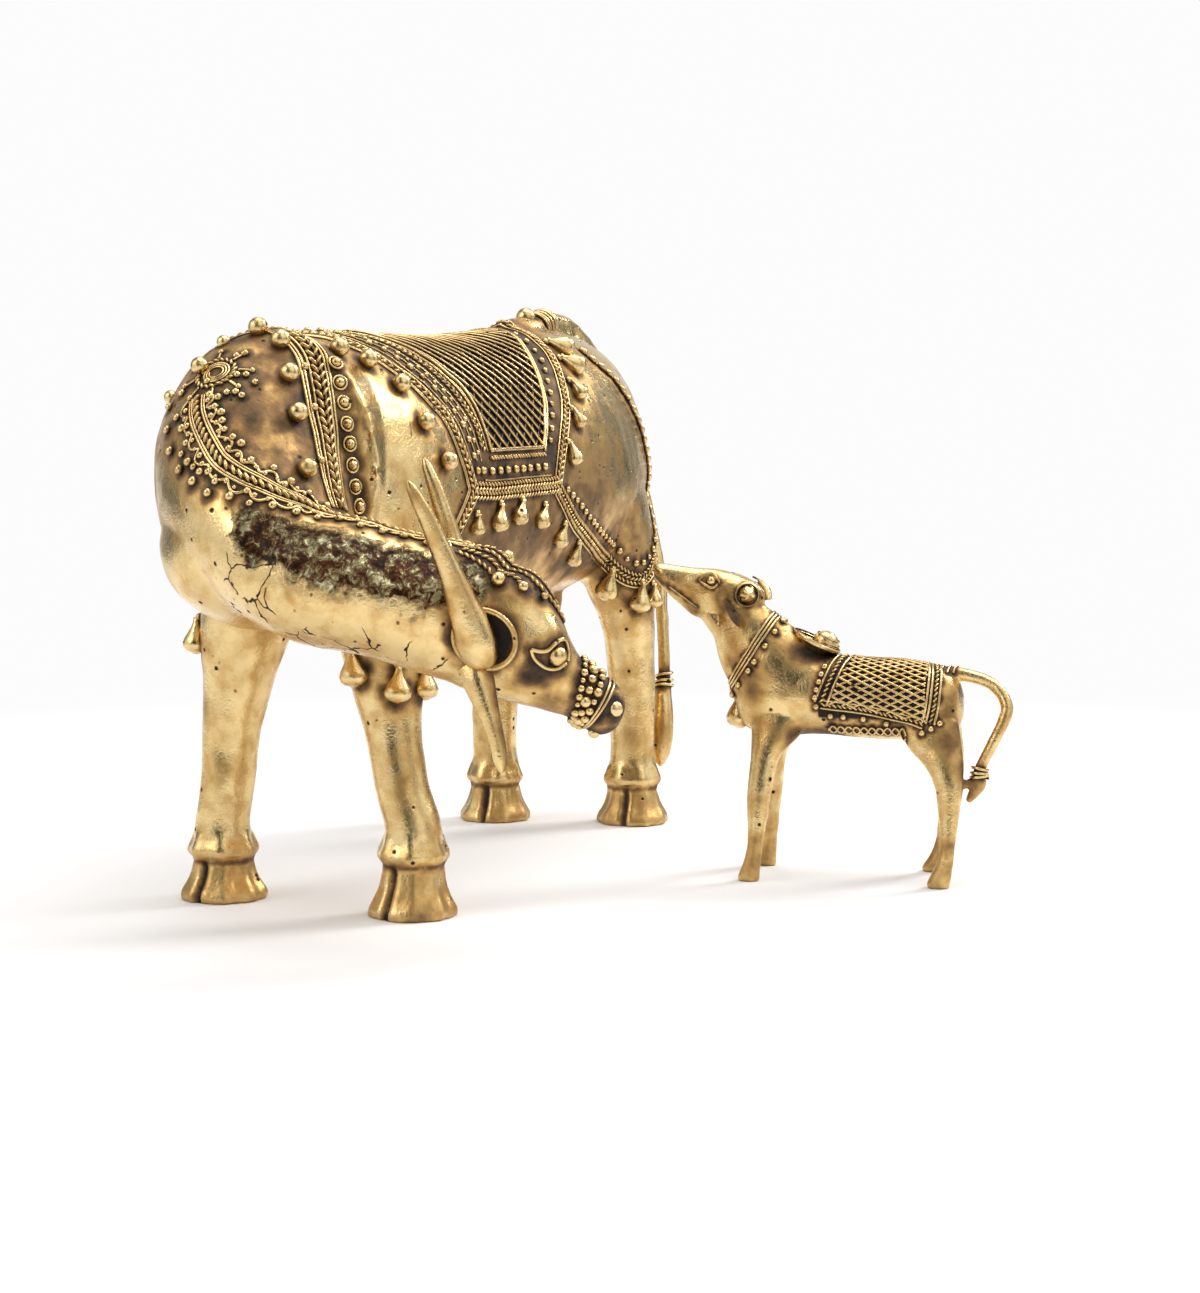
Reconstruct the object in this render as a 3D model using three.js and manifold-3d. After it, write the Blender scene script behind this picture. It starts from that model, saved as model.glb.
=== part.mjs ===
// A lost-wax brass cow, her head turned back along her left side, and her calf: two separate castings
// that stand on the same surface. Millimetres, +Z up. Both are laid out in the cow's own frame: she
// faces -X, her left is -Y, and the frame starts on the ground between her front hooves. The last lines
// move the pair so that the middle of its footprint is the origin.
import * as THREE from 'three';
import { mergeVertices } from 'three/addons/utils/BufferGeometryUtils.js';
import Module from 'manifold-3d';

const wasm = await Module();
wasm.setup();

const UP = new THREE.Vector3(0, 0, 1);
const vec = (x, y, z) => new THREE.Vector3(x, y, z);

// A smooth value between rows of numbers: Catmull-Rom, one row for each whole u.
function between(rows, u) {
  const i = Math.min(Math.floor(u), rows.length - 2);
  const t = u - i;
  const [a, b, c, d] = [i - 1, i, i + 1, i + 2].map((k) => rows[Math.max(0, Math.min(rows.length - 1, k))]);
  return b.map((p, k) => {
    const start = (c[k] - a[k]) / 2;
    const end = (d[k] - p) / 2;
    const bend = 2 * (p - c[k]) + start + end;
    return p + t * (start + t * (c[k] - p - start - bend + t * bend));
  });
}

// A closed, rounded limb through stations [x, y, z, half width, half height].
// Every section holds the up line.
function limb(stations, { sides = 12, steps = 2, up = UP, pear = 0 } = {}) {
  const count = (stations.length - 1) * steps + 1;
  const rows = Array.from({ length: count }, (_, k) => between(stations, k / steps));
  const centres = rows.map((row) => vec(row[0], row[1], row[2]));
  const points = [];
  for (let k = 0; k < count; k++) {
    const along = centres[Math.min(k + 1, count - 1)].clone().sub(centres[Math.max(k - 1, 0)]).normalize();
    const across = new THREE.Vector3().crossVectors(up, along).normalize();
    for (let s = 0; s < sides; s++) {
      const angle = (2 * Math.PI * s) / sides;
      const point = centres[k].clone();
      point.addScaledVector(across, rows[k][3] * Math.cos(angle) * (1 - pear * Math.sin(angle)));
      points.push(point.addScaledVector(up, rows[k][4] * Math.sin(angle)));
    }
  }
  const index = [];
  for (let k = 0; k + 1 < count; k++) {
    for (let s = 0; s < sides; s++) {
      const [p, q] = [k * sides + s, k * sides + ((s + 1) % sides)];
      index.push(p, q, q + sides, p, q + sides, p + sides);
    }
  }
  points.push(centres[0], centres[count - 1]);
  for (let s = 0; s < sides; s++) {
    const next = (s + 1) % sides;
    index.push(count * sides, next, s);
    index.push(count * sides + 1, (count - 1) * sides + s, (count - 1) * sides + next);
  }
  const geometry = new THREE.BufferGeometry().setFromPoints(points);
  geometry.setIndex(index);
  return geometry;
}

function solidOf(geometry) {
  const bare = geometry.clone();
  bare.deleteAttribute('normal');
  bare.deleteAttribute('uv');
  const merged = mergeVertices(bare, 1e-4);
  const mesh = new wasm.Mesh({
    numProp: 3,
    vertProperties: new Float32Array(merged.attributes.position.array),
    triVerts: new Uint32Array(merged.index.array),
  });
  return new wasm.Manifold(mesh);
}

const fuse = (geometries) => geometries.map(solidOf).reduce((whole, one) => whole.add(one));

function geometryOf(solid) {
  const mesh = solid.getMesh();
  const geometry = new THREE.BufferGeometry();
  geometry.setAttribute('position', new THREE.Float32BufferAttribute(mesh.vertProperties, 3));
  geometry.setIndex(new THREE.Uint32BufferAttribute(mesh.triVerts, 1));
  geometry.computeVertexNormals();
  return geometry;
}

// The place of a head or an animal, from its own axes (forward, left, up).
function place(origin, forward, left) {
  const x = forward.clone().normalize();
  const z = new THREE.Vector3().crossVectors(x, left).normalize();
  const y = new THREE.Vector3().crossVectors(z, x);
  return new THREE.Matrix4().makeBasis(x, y, z).setPosition(origin);
}

// Finds where a line aimed from outside at a point inside first meets the casting.
function skinOf(solid) {
  const mesh = new THREE.Mesh(geometryOf(solid), new THREE.MeshBasicMaterial());
  const ray = new THREE.Raycaster();
  return (inside, outward, reach) => {
    const out = outward.clone().normalize();
    ray.set(inside.clone().addScaledVector(out, reach), out.clone().negate());
    const { point, face } = ray.intersectObject(mesh)[0];
    return { point, normal: face.normal.clone() };
  };
}

const radians = (degrees) => (degrees * Math.PI) / 180;

// A smooth run of steps along a table of surface coordinates, each found on the skin by `find`.
function traced(rows, find, steps) {
  const stride = (rows.length - 1) / steps;
  return Array.from({ length: steps + 1 }, (_, k) => find(...between(rows, k * stride)));
}

// A raised band that follows spots on the skin, sunk a little so that it joins the casting all along.
const SINK = 1.6;
function band(spots, width, height, closed = false) {
  const last = spots.length - 1;
  const sections = spots.map(({ point, normal }, k) => {
    const before = closed ? spots[(k + last) % spots.length] : spots[Math.max(k - 1, 0)];
    const after = closed ? spots[(k + 1) % spots.length] : spots[Math.min(k + 1, last)];
    const along = after.point.clone().sub(before.point).normalize();
    const across = new THREE.Vector3().crossVectors(along, normal).normalize();
    const out = new THREE.Vector3().crossVectors(across, along);
    const corner = (w, h) => point.clone().addScaledVector(across, w).addScaledVector(out, h);
    const half = width / 2;
    return [
      corner(-half, -SINK), corner(half, -SINK), corner(half * 0.7, height), corner(-half * 0.7, height),
    ];
  });
  const index = [];
  for (let k = 0; k < (closed ? spots.length : last); k++) {
    const [p, q] = [4 * k, 4 * ((k + 1) % spots.length)];
    for (let s = 0; s < 4; s++) {
      const next = (s + 1) % 4;
      index.push(p + s, q + next, p + next, p + s, q + s, q + next);
    }
  }
  if (!closed) {
    const e = 4 * last;
    index.push(0, 1, 2, 0, 2, 3, e, e + 2, e + 1, e, e + 3, e + 2);
  }
  const geometry = new THREE.BufferGeometry().setFromPoints(sections.flat());
  geometry.setIndex(index);
  return geometry;
}

// A ball that stands on the skin.
function ball({ point, normal }, radius, lift = 0.5, sides = 6) {
  const centre = point.clone().addScaledVector(normal, radius * lift);
  return new THREE.SphereGeometry(radius, sides, 3).translate(centre.x, centre.y, centre.z);
}

// A round body along a line: rows of [part of the way, radius].
function turned(from, to, profile, sides) {
  const rows = profile.map(([t, r]) => [...from.clone().lerp(to, t), r, r]);
  const way = to.clone().sub(from);
  const up = Math.abs(way.z) > 0.9 * way.length() ? vec(1, 0, 0) : UP;
  const square = up.clone().addScaledVector(way, -up.dot(way) / way.lengthSq()).normalize();
  return limb(rows, { sides, steps: 1, up: square });
}

// A drop-shaped bell that hangs on the skin from its small loop.
const BELL = [[0, 1.5], [0.76, 3.7], [1, 1.3]];
function bell(root, tip) {
  const from = root.point.clone().addScaledVector(root.normal, 1);
  const to = tip.point.clone().addScaledVector(tip.normal, 1.6);
  return turned(from, to, BELL, 4);
}

// COW
const AHEAD = vec(-1, 0, 0);
const LEFT = vec(0, -1, 0);
const TRUNK = [
  [-40, 0, 150, 10, 16], [-33, 0, 150, 27, 36], [-14, 0, 149, 38, 48], [10, 0, 148, 42, 51],
  [50, 0, 147, 43, 53], [100, 0, 149, 43, 54], [150, 0, 153, 43, 56], [190, 0, 156, 41, 54],
  [215, 0, 157, 35, 49], [232, 0, 157, 26, 39], [242, 0, 156, 15, 24], [246, 0, 155, 5, 8],
];
const NECK = [
  [6, 0, 150, 36, 46], [-18, 0, 151, 37, 46], [-36, -2, 149.5, 36.5, 46], [-52, -14, 140, 30, 37],
  [-60, -34, 119, 25, 22.8], [-56, -52, 114, 21, 21], [-48, -68, 108.6, 19.5, 21.6],
  [-40, -82, 105, 17, 22.6], [-37, -87, 107, 13.5, 20], [-35, -92, 107.5, 8, 15.4],
];
const brisket = new THREE.SphereGeometry(1, 10, 6).scale(35, 33, 27).translate(-40, -4, 126);

// A leg flares into a collar, and the hoof spreads below it.
const HOOF_RADIUS = 15.4;
const foot = (x, y, rim) => [
  [x, y, rim + 10, 9.6, 9.6], [x, y, rim + 4, 10.8, 10.8], [x, y, rim, 12.6, 12.6],
  [x, y, rim - 1.6, 11.8, 11.8], [x, y, rim - 2.4, 10, 10], [x, y, rim * 0.45, 11.8, 11.8],
  [x, y, 3, 15, 15], [x, y, 0, HOOF_RADIUS, HOOF_RADIUS],
];
// Each foot: where it stands, the height of its collar, and the turn of its cleft from straight ahead.
const FEET = {
  frontRight: { x: -3.8, y: 37.2, rim: 17.5, turn: 8 },
  frontLeft: { x: -4.6, y: -39.4, rim: 21, turn: 14 },
  hindRight: { x: 196, y: 28.6, rim: 19, turn: -4 },
  hindLeft: { x: 211, y: -30.2, rim: 19, turn: 8 },
};
const COW_LEGS = {
  frontRight: [
    [2, 24, 118, 17, 22], [-1, 28.5, 96, 15.5, 17.5], [-2, 31.4, 78, 12.2, 13], [-3, 33.6, 62, 10.2, 11],
    [-3.5, 35.4, 42, 9.4, 10],
  ],
  frontLeft: [
    [5, -22, 118, 17, 22], [2, -24.5, 98, 15.5, 17.5], [0, -27.5, 80, 12.6, 14], [-2, -31, 62, 9.8, 10.4],
    [-4, -35.6, 42, 9, 9.6],
  ],
  hindRight: [
    [174, 17, 158, 20, 30], [181, 22, 132, 19, 29], [189, 26.5, 108, 15, 22], [194, 28.9, 84, 10.8, 13.4],
    [197, 29, 58, 9.8, 10.4], [196, 29, 34, 9.6, 10],
  ],
  hindLeft: [
    [189, -17, 158, 20, 30], [196, -22, 132, 19, 29], [204, -26.5, 108, 15, 22],
    [208, -29.4, 84, 10.8, 13.4], [211, -29.8, 58, 9.8, 10.4], [211, -30, 34, 9.6, 10],
  ],
};
const cowLegs = Object.entries(COW_LEGS).map(([name, rows]) => {
  const { x, y, rim } = FEET[name];
  return limb([...rows, ...foot(x, y, rim)], { sides: 8, steps: 1, up: AHEAD });
});
// The cleft in the front of a hoof: a three-cornered prism, wider below, that leans with the hoof.
const clefts = Object.values(FEET).map(({ x, y, rim, turn }) => (
  new THREE.CylinderGeometry(1.4, 2.6, rim, 3)
    .rotateX(Math.PI / 2)
    .rotateZ(Math.PI / 2)
    .rotateY(0.32)
    .translate(-0.8 * HOOF_RADIUS, 0, rim / 2 - 1)
    .rotateZ(radians(-turn))
    .translate(x, y, 0)
));

const TAIL = [
  [146, 0, 203, 8, 5], [160, 0, 206, 8, 7], [170, 0, 209, 6.5, 7.5], [178, 0, 211, 5.4, 6],
  [185, 0, 212.6, 5.4, 5.6], [187, 0, 213, 4.4, 4.4], [196, -1, 213.8, 4.3, 4.3], [206, -2, 212, 4.2, 4.2],
  [218, -4, 206, 4, 4], [229, -6, 196, 3.8, 3.8], [238, -9, 181, 3.6, 3.6], [243, -15, 160, 3.4, 3.4],
  [243, -23, 136, 3.2, 3.2], [240, -30, 110, 3, 3], [237, -33.5, 84, 2.9, 2.9], [234, -35.5, 62, 3, 3],
  [231, -36, 52, 4.4, 4.4], [228, -37, 40, 5, 5.4], [226, -37, 28, 3.6, 4], [225, -37, 23, 1, 1],
];
const udder = new THREE.SphereGeometry(12, 10, 7).scale(1.2, 1, 1).translate(174, 0, 98);
const knob = new THREE.SphereGeometry(4.6, 8, 6).translate(169, 0, 215.4);

// Her head, in its own axes: forward along the muzzle, left, and up through the forehead.
const cowHeadPlace = place(
  vec(-41.5, -86.4, 101.2), vec(0.4695, -0.6968, -0.5425), vec(0.865, 0.487, 0.123),
);
const HEAD = [
  [-9, 0, 0.5, 8, 12], [-5, 0, 0.8, 14, 19], [1, 0, 1.2, 16, 21.4], [9.4, 0, 1.6, 15.5, 19.6],
  [18.9, 0, 0, 14, 15], [25.2, 0, -1.3, 12, 11.7], [31.4, 0, -1.5, 9.8, 9.6], [37.7, 0, -0.8, 8.6, 8.5],
  [44.6, 0, -1, 8.6, 8.7], [48.6, 0, -1.8, 7.6, 7.4], [51, 0, -2.4, 4.5, 4.2], [51.8, 0, -2.4, 1.6, 1.6],
];
const NOSE_BAND = [
  [35.4, 0, -1.1, 8.8, 8.7], [36.4, 0, -1, 10.2, 10.1], [41, 0, -0.9, 10, 9.9], [42, 0, -1, 8.4, 8.4],
];
const HORN = [
  [5, 15, -8.4, 3, 3], [1, 15.4, -4.4, 5.8, 5.8], [-9, 16.5, 2.6, 5.2, 5.2], [-20, 18, 10.6, 3.9, 3.9],
  [-30.6, 19.2, 17.8, 3, 3], [-38.4, 20.4, 22.4, 1.9, 1.9], [-41, 21, 24, 0.5, 0.5],
];
const horn = (side, reach, rise) => {
  const rows = HORN.map(([x, y, z, w, h]) => [x * reach, side * y, z * reach * rise, w, h]);
  return limb(rows, { sides: 6, steps: 1, up: vec(0, side, 0) });
};
const EAR = [
  [2, 12, -8, 2, 5], [5, 17.4, -10, 2.4, 5], [12, 20.6, -17, 2.4, 4.2], [19, 22.8, -24.5, 2, 3],
  [24, 24, -30, 1, 1.2],
];
const ear = (side) => {
  const rows = EAR.map(([x, y, z, w, h]) => [x, side * y, z, w, h]);
  return limb(rows, { sides: 6, steps: 1, up: vec(0.75, 0, 0.66) });
};
const bothSides = (make) => [make(1), make(-1)];
const eye = (side) => new THREE.SphereGeometry(4.2, 6, 4).translate(21.6, side * 12, 4.6);
const lid = (side) => (
  new THREE.TorusGeometry(5.2, 1, 3, 7).rotateX(Math.PI / 2).translate(21.6, side * 12.6, 4.6)
);
const earCup = (side) => (
  new THREE.TorusGeometry(9.4, 1.2, 3, 8).rotateX(Math.PI / 2).translate(-1.6, side * 15.4, -0.8)
);
const nostril = (side) => new THREE.SphereGeometry(3.4, 5, 4).translate(47.4, side * 5.2, 1.6);
const chin = new THREE.SphereGeometry(2.6, 6, 4).translate(43.6, 0, -9.6);
const cowHead = [
  limb(HEAD, { sides: 12, steps: 1 }),
  limb(NOSE_BAND, { sides: 12, steps: 1 }),
  horn(1, 1.08, 1.27),
  horn(-1, 1.17, 1),
  ...[ear, eye, lid, earCup, nostril].flatMap(bothSides),
  chin,
].map((g) => g.applyMatrix4(cowHeadPlace));

const cowBare = fuse([
  limb(TRUNK, { sides: 18, steps: 1, pear: 0.08 }),
  brisket,
  limb(NECK, { sides: 12, steps: 2 }),
  ...cowLegs,
  ...cowHead,
  limb(TAIL, { sides: 6, steps: 1, up: LEFT }),
  udder,
  knob,
]);

// Her trappings are laid out by length and by degrees round the body: 0 on the back, + toward her left.
// The lines toward her forequarters start closer in, between the body and her turned head.
const cowSkin = skinOf(cowBare);
// The height of her trunk's middle line at a length x.
function axisHeight(x) {
  const k = Math.max(1, TRUNK.findIndex((row) => row[0] > x));
  const [from, to] = [TRUNK[k - 1], TRUNK[k]];
  return from[2] + ((to[2] - from[2]) * (x - from[0])) / (to[0] - from[0]);
}
const onBody = (x, degrees) => {
  const outward = vec(0, -Math.sin(radians(degrees)), Math.cos(radians(degrees)));
  return cowSkin(vec(x, 0, axisHeight(x)), outward, x < 20 ? 62 : 76);
};
// On the outside of a thigh or shoulder, straight in from her left (side 1) or right (side -1).
const onFlank = (x, z, side) => cowSkin(vec(x, 0, z), vec(0, -side, 0), 60);
// On the neck: by station of the table above, and degrees round its line, 90 on top.
const onNeck = (station, degrees) => {
  const [from, to] = [station - 0.5, station + 0.5].map((u) => vec(...between(NECK, u)));
  const across = new THREE.Vector3().crossVectors(UP, to.sub(from)).normalize();
  const turn = radians(degrees);
  const outward = across.multiplyScalar(Math.cos(turn)).addScaledVector(UP, Math.sin(turn));
  return cowSkin(vec(...between(NECK, station)), outward, 58);
};

// A strap of the same width on both flanks, plainer on her right.
const mirrored = (rows) => rows.map(([x, degrees]) => [x, -degrees]);
const eachFlank = (rows, steps, find, width, height) => [
  band(traced(rows, find, steps), width, height),
  band(traced(mirrored(rows), find, Math.ceil(steps * 0.7)), width, height),
];

const SHOULDER_STRAP = [
  [-27, 0], [-28.5, 9], [-30, 17.4], [-31.2, 25], [-33.5, 33], [-35.4, 41], [-37, 52], [-37.8, 64],
  [-39.2, 76], [-40.7, 89], [-42, 100], [-42.6, 108],
];
const SHOULDER_BALLS = [
  [-34.6, -0.5], [-36.5, 11.7], [-43.3, 26.2], [-48.2, 48], [-55.1, 88], [-39.5, -14], [-46, -47], [-38, -86],
];
const BLANKET_BALLS = [[-19.3, 25.6], [-6.6, 31.4], [2.2, 44.7], [7, 63], [15.8, 81.4]];
const FRONT_BORDER = [
  [-14, 0], [-9, 9], [-3.8, 17.6], [1.5, 23], [8.2, 35], [14, 41.4], [19, 49.3], [24.6, 56], [27.1, 63.3],
  [28.9, 73], [31.4, 81], [33.7, 89], [35.3, 94], [32.5, 99.7], [28.8, 106.6], [25.6, 112.2],
];
const REAR_BORDER = [
  [147, 0], [145, 10], [142.5, 20], [141, 27], [137, 35.3], [131.8, 45], [127.5, 54], [121.8, 62.7],
  [115, 72.7], [109, 83.8], [105.6, 94],
];
const LOWER_BORDER = [[35.3, 95], [57, 94.3], [78, 95], [105, 96]];
const NET_FRAME = [
  [30, 14], [43.8, 35], [50.4, 53], [51, 74.6], [70, 74.8], [94, 74.8], [104.6, 58.6], [109.8, 49.8],
  [115.5, 38], [121.3, 27], [129.6, 13],
];
const BREECHING = [
  [105.6, 95], [111, 101], [118, 108], [126, 114.5], [137, 121], [149, 127.5], [165, 135.5], [179, 141.5],
  [187, 142.5], [195, 141.5], [203, 138.5], [211, 134.5],
];
const RUMP_CHAIN = [
  [174, 26], [180, 35], [187, 42.3], [192, 50.8], [196, 61], [201, 72.6], [207, 85], [213, 98], [217, 112],
  [216, 124], [212, 134],
];
const CREST = [
  [2.52, 125], [2.84, 133], [3.1, 136], [3.41, 134], [3.6, 127], [3.79, 116], [4.1, 106], [5.2, 94],
  [6.07, 86], [6.9, 82],
];
const SUN = [2.4, 113];
const DISCS = [
  [-26.8, 33], [-27.6, 38], [-28.4, 43.3], [-29.1, 49.5], [-29.8, 57.3], [-29.9, 66], [-29.8, 74.8],
  [-29.5, 84.3], [-29.2, 94.4], [-28.3, 103], [-27.2, 110.4],
];
const BELLS = [
  [37.2, 104.6, 37.7, 114], [55.7, 100, 53.4, 112.7], [73.5, 99.2, 69.7, 110.7], [93.6, 103, 89.8, 113.6],
  [148.2, 19.9, 159.8, 27.4], [145.6, 29.9, 156.6, 37.7], [140.2, 42.4, 143.4, 53.2], [130.3, 56.9, 133, 68],
  [118.5, 74, 120, 86.6], [114.3, 114.4, 112.3, 125.2], [134.6, 126.3, 134.8, 137.4],
];
const THIGH_BELLS = [[183, 111, 183.5, 100], [196.6, 105, 197, 92], [205.5, 104, 205.6, 93]];

const trappings = [
  ...eachFlank(SHOULDER_STRAP, 6, onBody, 8, 1.3),
  ...eachFlank(FRONT_BORDER, 7, onBody, 8, 1.2),
  ...eachFlank(REAR_BORDER, 6, onBody, 6, 1.2),
  ...eachFlank(LOWER_BORDER, 2, onBody, 6, 1.2),
  band(traced(NET_FRAME, onBody, 10), 3, 1.2),
  ...eachFlank(BREECHING, 7, onBody, 7, 1.4),
  ...eachFlank(RUMP_CHAIN, 6, onBody, 3.4, 1.6),
  band(traced(CREST, onNeck, 11), 6, 1.4),
  ...[...SHOULDER_BALLS, ...BLANKET_BALLS].map((row) => ball(onBody(...row), 3.5)),
  ball(onNeck(...SUN), 3.6),
  ...DISCS.map((row) => ball(onBody(...row), 2.4, 0.1, 4)),
  ...BELLS.map(([x, a, tipX, b]) => bell(onBody(x, a), onBody(tipX, b))),
  ...THIGH_BELLS.map(([x, z, tipX, low]) => bell(onFlank(x, z, 1), onFlank(tipX, low, 1))),
];

const dressed = cowBare.add(fuse(trappings));
const cow = clefts.map(solidOf).reduce((whole, cleft) => whole.subtract(cleft), dressed);

// CALF
const calfPlace = place(vec(124.5, -153.3, 0), vec(-0.196, 0.981, 0), vec(-0.981, -0.196, 0));
const CALF_TRUNK = [
  [41.6, 0, 66, 3, 4], [38.8, 0, 67, 9, 11], [30, 0, 68, 13, 15.5], [12, 0, 68.5, 14.5, 15.2],
  [-6, 0, 67.1, 14.5, 14.8], [-22, 0, 66.4, 14, 14.6], [-33, 0, 65.6, 13.5, 14], [-40, 0, 65, 9, 10.5],
  [-42.5, 0, 65, 3, 4],
];
const CALF_NECK = [
  [20, 0, 69, 14, 19], [29.8, 0, 78, 13, 18], [32.4, 0, 82.1, 12, 16.1], [35.4, 0, 85.7, 10.8, 15],
  [39.4, 0, 90.8, 9, 13.2], [43.6, 0, 96.8, 7.4, 9.6], [45.6, 0, 100.4, 5.6, 6],
];
const CALF_HEAD = [
  [31.5, 0, 103.5, 2.5, 2.5], [34, 0, 104, 5.5, 5], [41, 0, 105, 7.6, 7.8], [49, 0, 105.5, 7.4, 9],
  [57, 0, 105.6, 5.8, 9.3], [64, 0, 108.6, 4.5, 7.1], [70, 0, 111.6, 4.2, 4.9], [73.5, 0, 114, 2.4, 2.6],
];
// Its tail hooks up and over, then its end comes down to the near hind leg.
const CALF_TAIL = [
  [-33, 0, 76.5, 3, 3], [-40, 1, 77, 2.6, 2.6], [-50.2, 2.5, 74.7, 2.4, 2.4], [-55.6, 4.5, 71.1, 2.4, 2.4],
  [-58.4, 6.5, 65.6, 2.3, 2.3], [-57.4, 8.5, 60.6, 2.2, 2.2], [-53.2, 9.6, 51.5, 2.1, 2.1],
  [-49.2, 10, 43, 2.3, 2.3], [-48.8, 10, 37.3, 2.7, 2.7], [-45, 10, 30.8, 1.2, 1.2],
];
const CALF_TAIL_JOIN = [[-49, 10, 39, 1.6, 1.6], [-39, 13.4, 36, 1.8, 1.8]];
// A leg, its foot set forward by `step`.
const calfLeg = (rows, side, step) => (
  rows.map(([x, y, z, w, h]) => [x + step * Math.max(0, 1 - z / 60), side * y, z, w, h])
);
const CALF_FORELEG = [
  [24, 7, 62, 6, 12], [26, 9, 54, 5.6, 9.5], [29.5, 12, 45, 4.6, 5.7], [31.2, 15, 30, 3.8, 4.6],
  [32, 16.5, 15, 3.2, 3.2], [33, 17, 7.6, 3.3, 3.5], [34.3, 17, 2, 3.8, 4.3], [34.3, 17, 0, 3.6, 4.1],
];
const CALF_HINDLEG = [
  [-30, 7.5, 60, 6.5, 12], [-33, 10, 50, 5.4, 10.4], [-36, 12.5, 45, 4.9, 8], [-38.2, 14.4, 37.6, 4.3, 5.8],
  [-38.5, 15.6, 28.6, 3.6, 4.3], [-38.4, 16.6, 17.6, 3.2, 3.2], [-37.4, 17, 9, 3.2, 3.2],
  [-35.2, 17, 2, 3.8, 4.4], [-35.2, 17, 0, 3.6, 4.2],
];
const CALF_EAR = [
  [45, 6, 102, 1, 1.6], [44, 8, 100.4, 1.2, 2.6], [40.6, 10, 97, 1.2, 2.8], [36.6, 11, 92.6, 0.8, 0.8],
];
const calfEar = (side) => limb(calfLeg(CALF_EAR, side, 0), { sides: 5, steps: 1, up: vec(0.7, 0, 0.7) });
const calfEye = (side) => new THREE.SphereGeometry(2, 5, 3).translate(51.6, side * 5.8, 109.6);
const HORN_BUD = [[0, 4.2], [0.75, 4.4], [0.8, 2.4], [1.2, 1]];
const hornBud = (side) => turned(vec(38, side * 2, 106), vec(33, side * 9, 105.4), HORN_BUD, 6);

const calfBare = fuse([
  limb(CALF_TRUNK, { sides: 12, steps: 1 }),
  limb(CALF_NECK, { sides: 10, steps: 1, up: vec(-0.707, 0, 0.707) }),
  limb(CALF_HEAD, { sides: 9, steps: 1 }),
  limb(CALF_TAIL, { sides: 5, steps: 1, up: vec(0, 1, 0) }),
  limb(CALF_TAIL_JOIN, { sides: 5, steps: 1 }),
  ...[[CALF_FORELEG, 1, 0], [CALF_FORELEG, -1, -1.4], [CALF_HINDLEG, 1, 0], [CALF_HINDLEG, -1, 4]].map(
    ([rows, side, step]) => limb(calfLeg(rows, side, step), { sides: 6, steps: 1, up: vec(1, 0, 0) }),
  ),
  ...[calfEar, calfEye, hornBud].flatMap(bothSides),
]);

const CALF_AXIS = 67;
const calfSkin = skinOf(calfBare);
const onCalf = (x, degrees) => (
  calfSkin(vec(x, 0, CALF_AXIS), vec(0, Math.sin(radians(degrees)), Math.cos(radians(degrees))), 24)
);
const onCalfBack = (x, y) => calfSkin(vec(x, y, CALF_AXIS), UP, 45);
// The collar lies in a plane that leans with the neck.
const COLLAR_CENTRE = vec(36.5, 0, 82.1);
const onCollar = (degrees) => {
  const [side, down] = [Math.cos(radians(degrees)), Math.sin(radians(degrees))];
  return calfSkin(COLLAR_CENTRE, vec(0.53 * down, side, -0.85 * down), 24);
};
const SAUCER_CENTRE = 12;
const SAUCER_RADIUS = 9.5;
const saucer = Array.from({ length: 8 }, (_, k) => {
  const turn = radians(45 * k);
  return onCalfBack(SAUCER_CENTRE + SAUCER_RADIUS * Math.cos(turn), SAUCER_RADIUS * Math.sin(turn));
});
const SAUCER_DOME = [[0, 9], [0.35, 7.6], [0.5, 5.6], [0.75, 4.8], [0.92, 3], [1, 1]];
const CALF_FRONT_STRAP = [
  [8.6, -94], [6.5, -72], [4, -45], [1.5, -15], [0.5, 0], [1.5, 15], [4, 45], [6.5, 72], [8.6, 94],
];
const CALF_REAR_STRAP = [[-30.6, -119], [-32, -90], [-32.6, -45], [-32, 0], [-32.6, 45], [-32, 90], [-30.6, 119]];
const CALF_LOWER_BAND = [[8.6, 94], [-7.7, 101], [-16.8, 109], [-29, 120]];
const calfTrappings = [
  band(traced(CALF_FRONT_STRAP, onCalf, 6), 5, 1.1),
  band(traced(CALF_REAR_STRAP, onCalf, 6), 4, 1.1),
  ...eachFlank(CALF_LOWER_BAND, 2, onCalf, 2.6, 1),
  band(Array.from({ length: 8 }, (_, k) => onCollar(k * 45)), 3, 1.1, true),
  band(saucer, 2.6, 1, true),
  turned(vec(11, 0, 80), vec(8, 0, 94.2), SAUCER_DOME, 8),
  turned(vec(40.6, 0, 69), vec(41, 0, 55), [[0, 1], [0.3, 2.2], [0.7, 2.2], [1, 0.8]], 5),
];
const calf = calfBare.add(fuse(calfTrappings));

const [middleX, middleY] = [80.74, -80.73];
const castings = {
  cow: geometryOf(cow),
  calf: geometryOf(calf).applyMatrix4(calfPlace),
};
const group = new THREE.Group();
for (const [name, geometry] of Object.entries(castings)) {
  const brass = new THREE.MeshStandardMaterial({ color: 0xb08d4a, roughness: 0.35, metalness: 1 });
  const mesh = new THREE.Mesh(geometry.translate(-middleX, -middleY, 0), brass);
  mesh.name = name;
  group.add(mesh);
}
export default group;
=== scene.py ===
"""A lost-wax brass cow, her head turned back along her left side, and her calf.

The tables below are in millimetres, in the cow's own frame: she faces -X, her left is -Y, and the frame
starts on the ground between her front hooves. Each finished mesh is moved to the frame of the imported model,
in metres.
"""

import math

import bpy
import numpy as np
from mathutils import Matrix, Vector, noise
from mathutils.bvhtree import BVHTree
from mathutils.kdtree import KDTree


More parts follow.
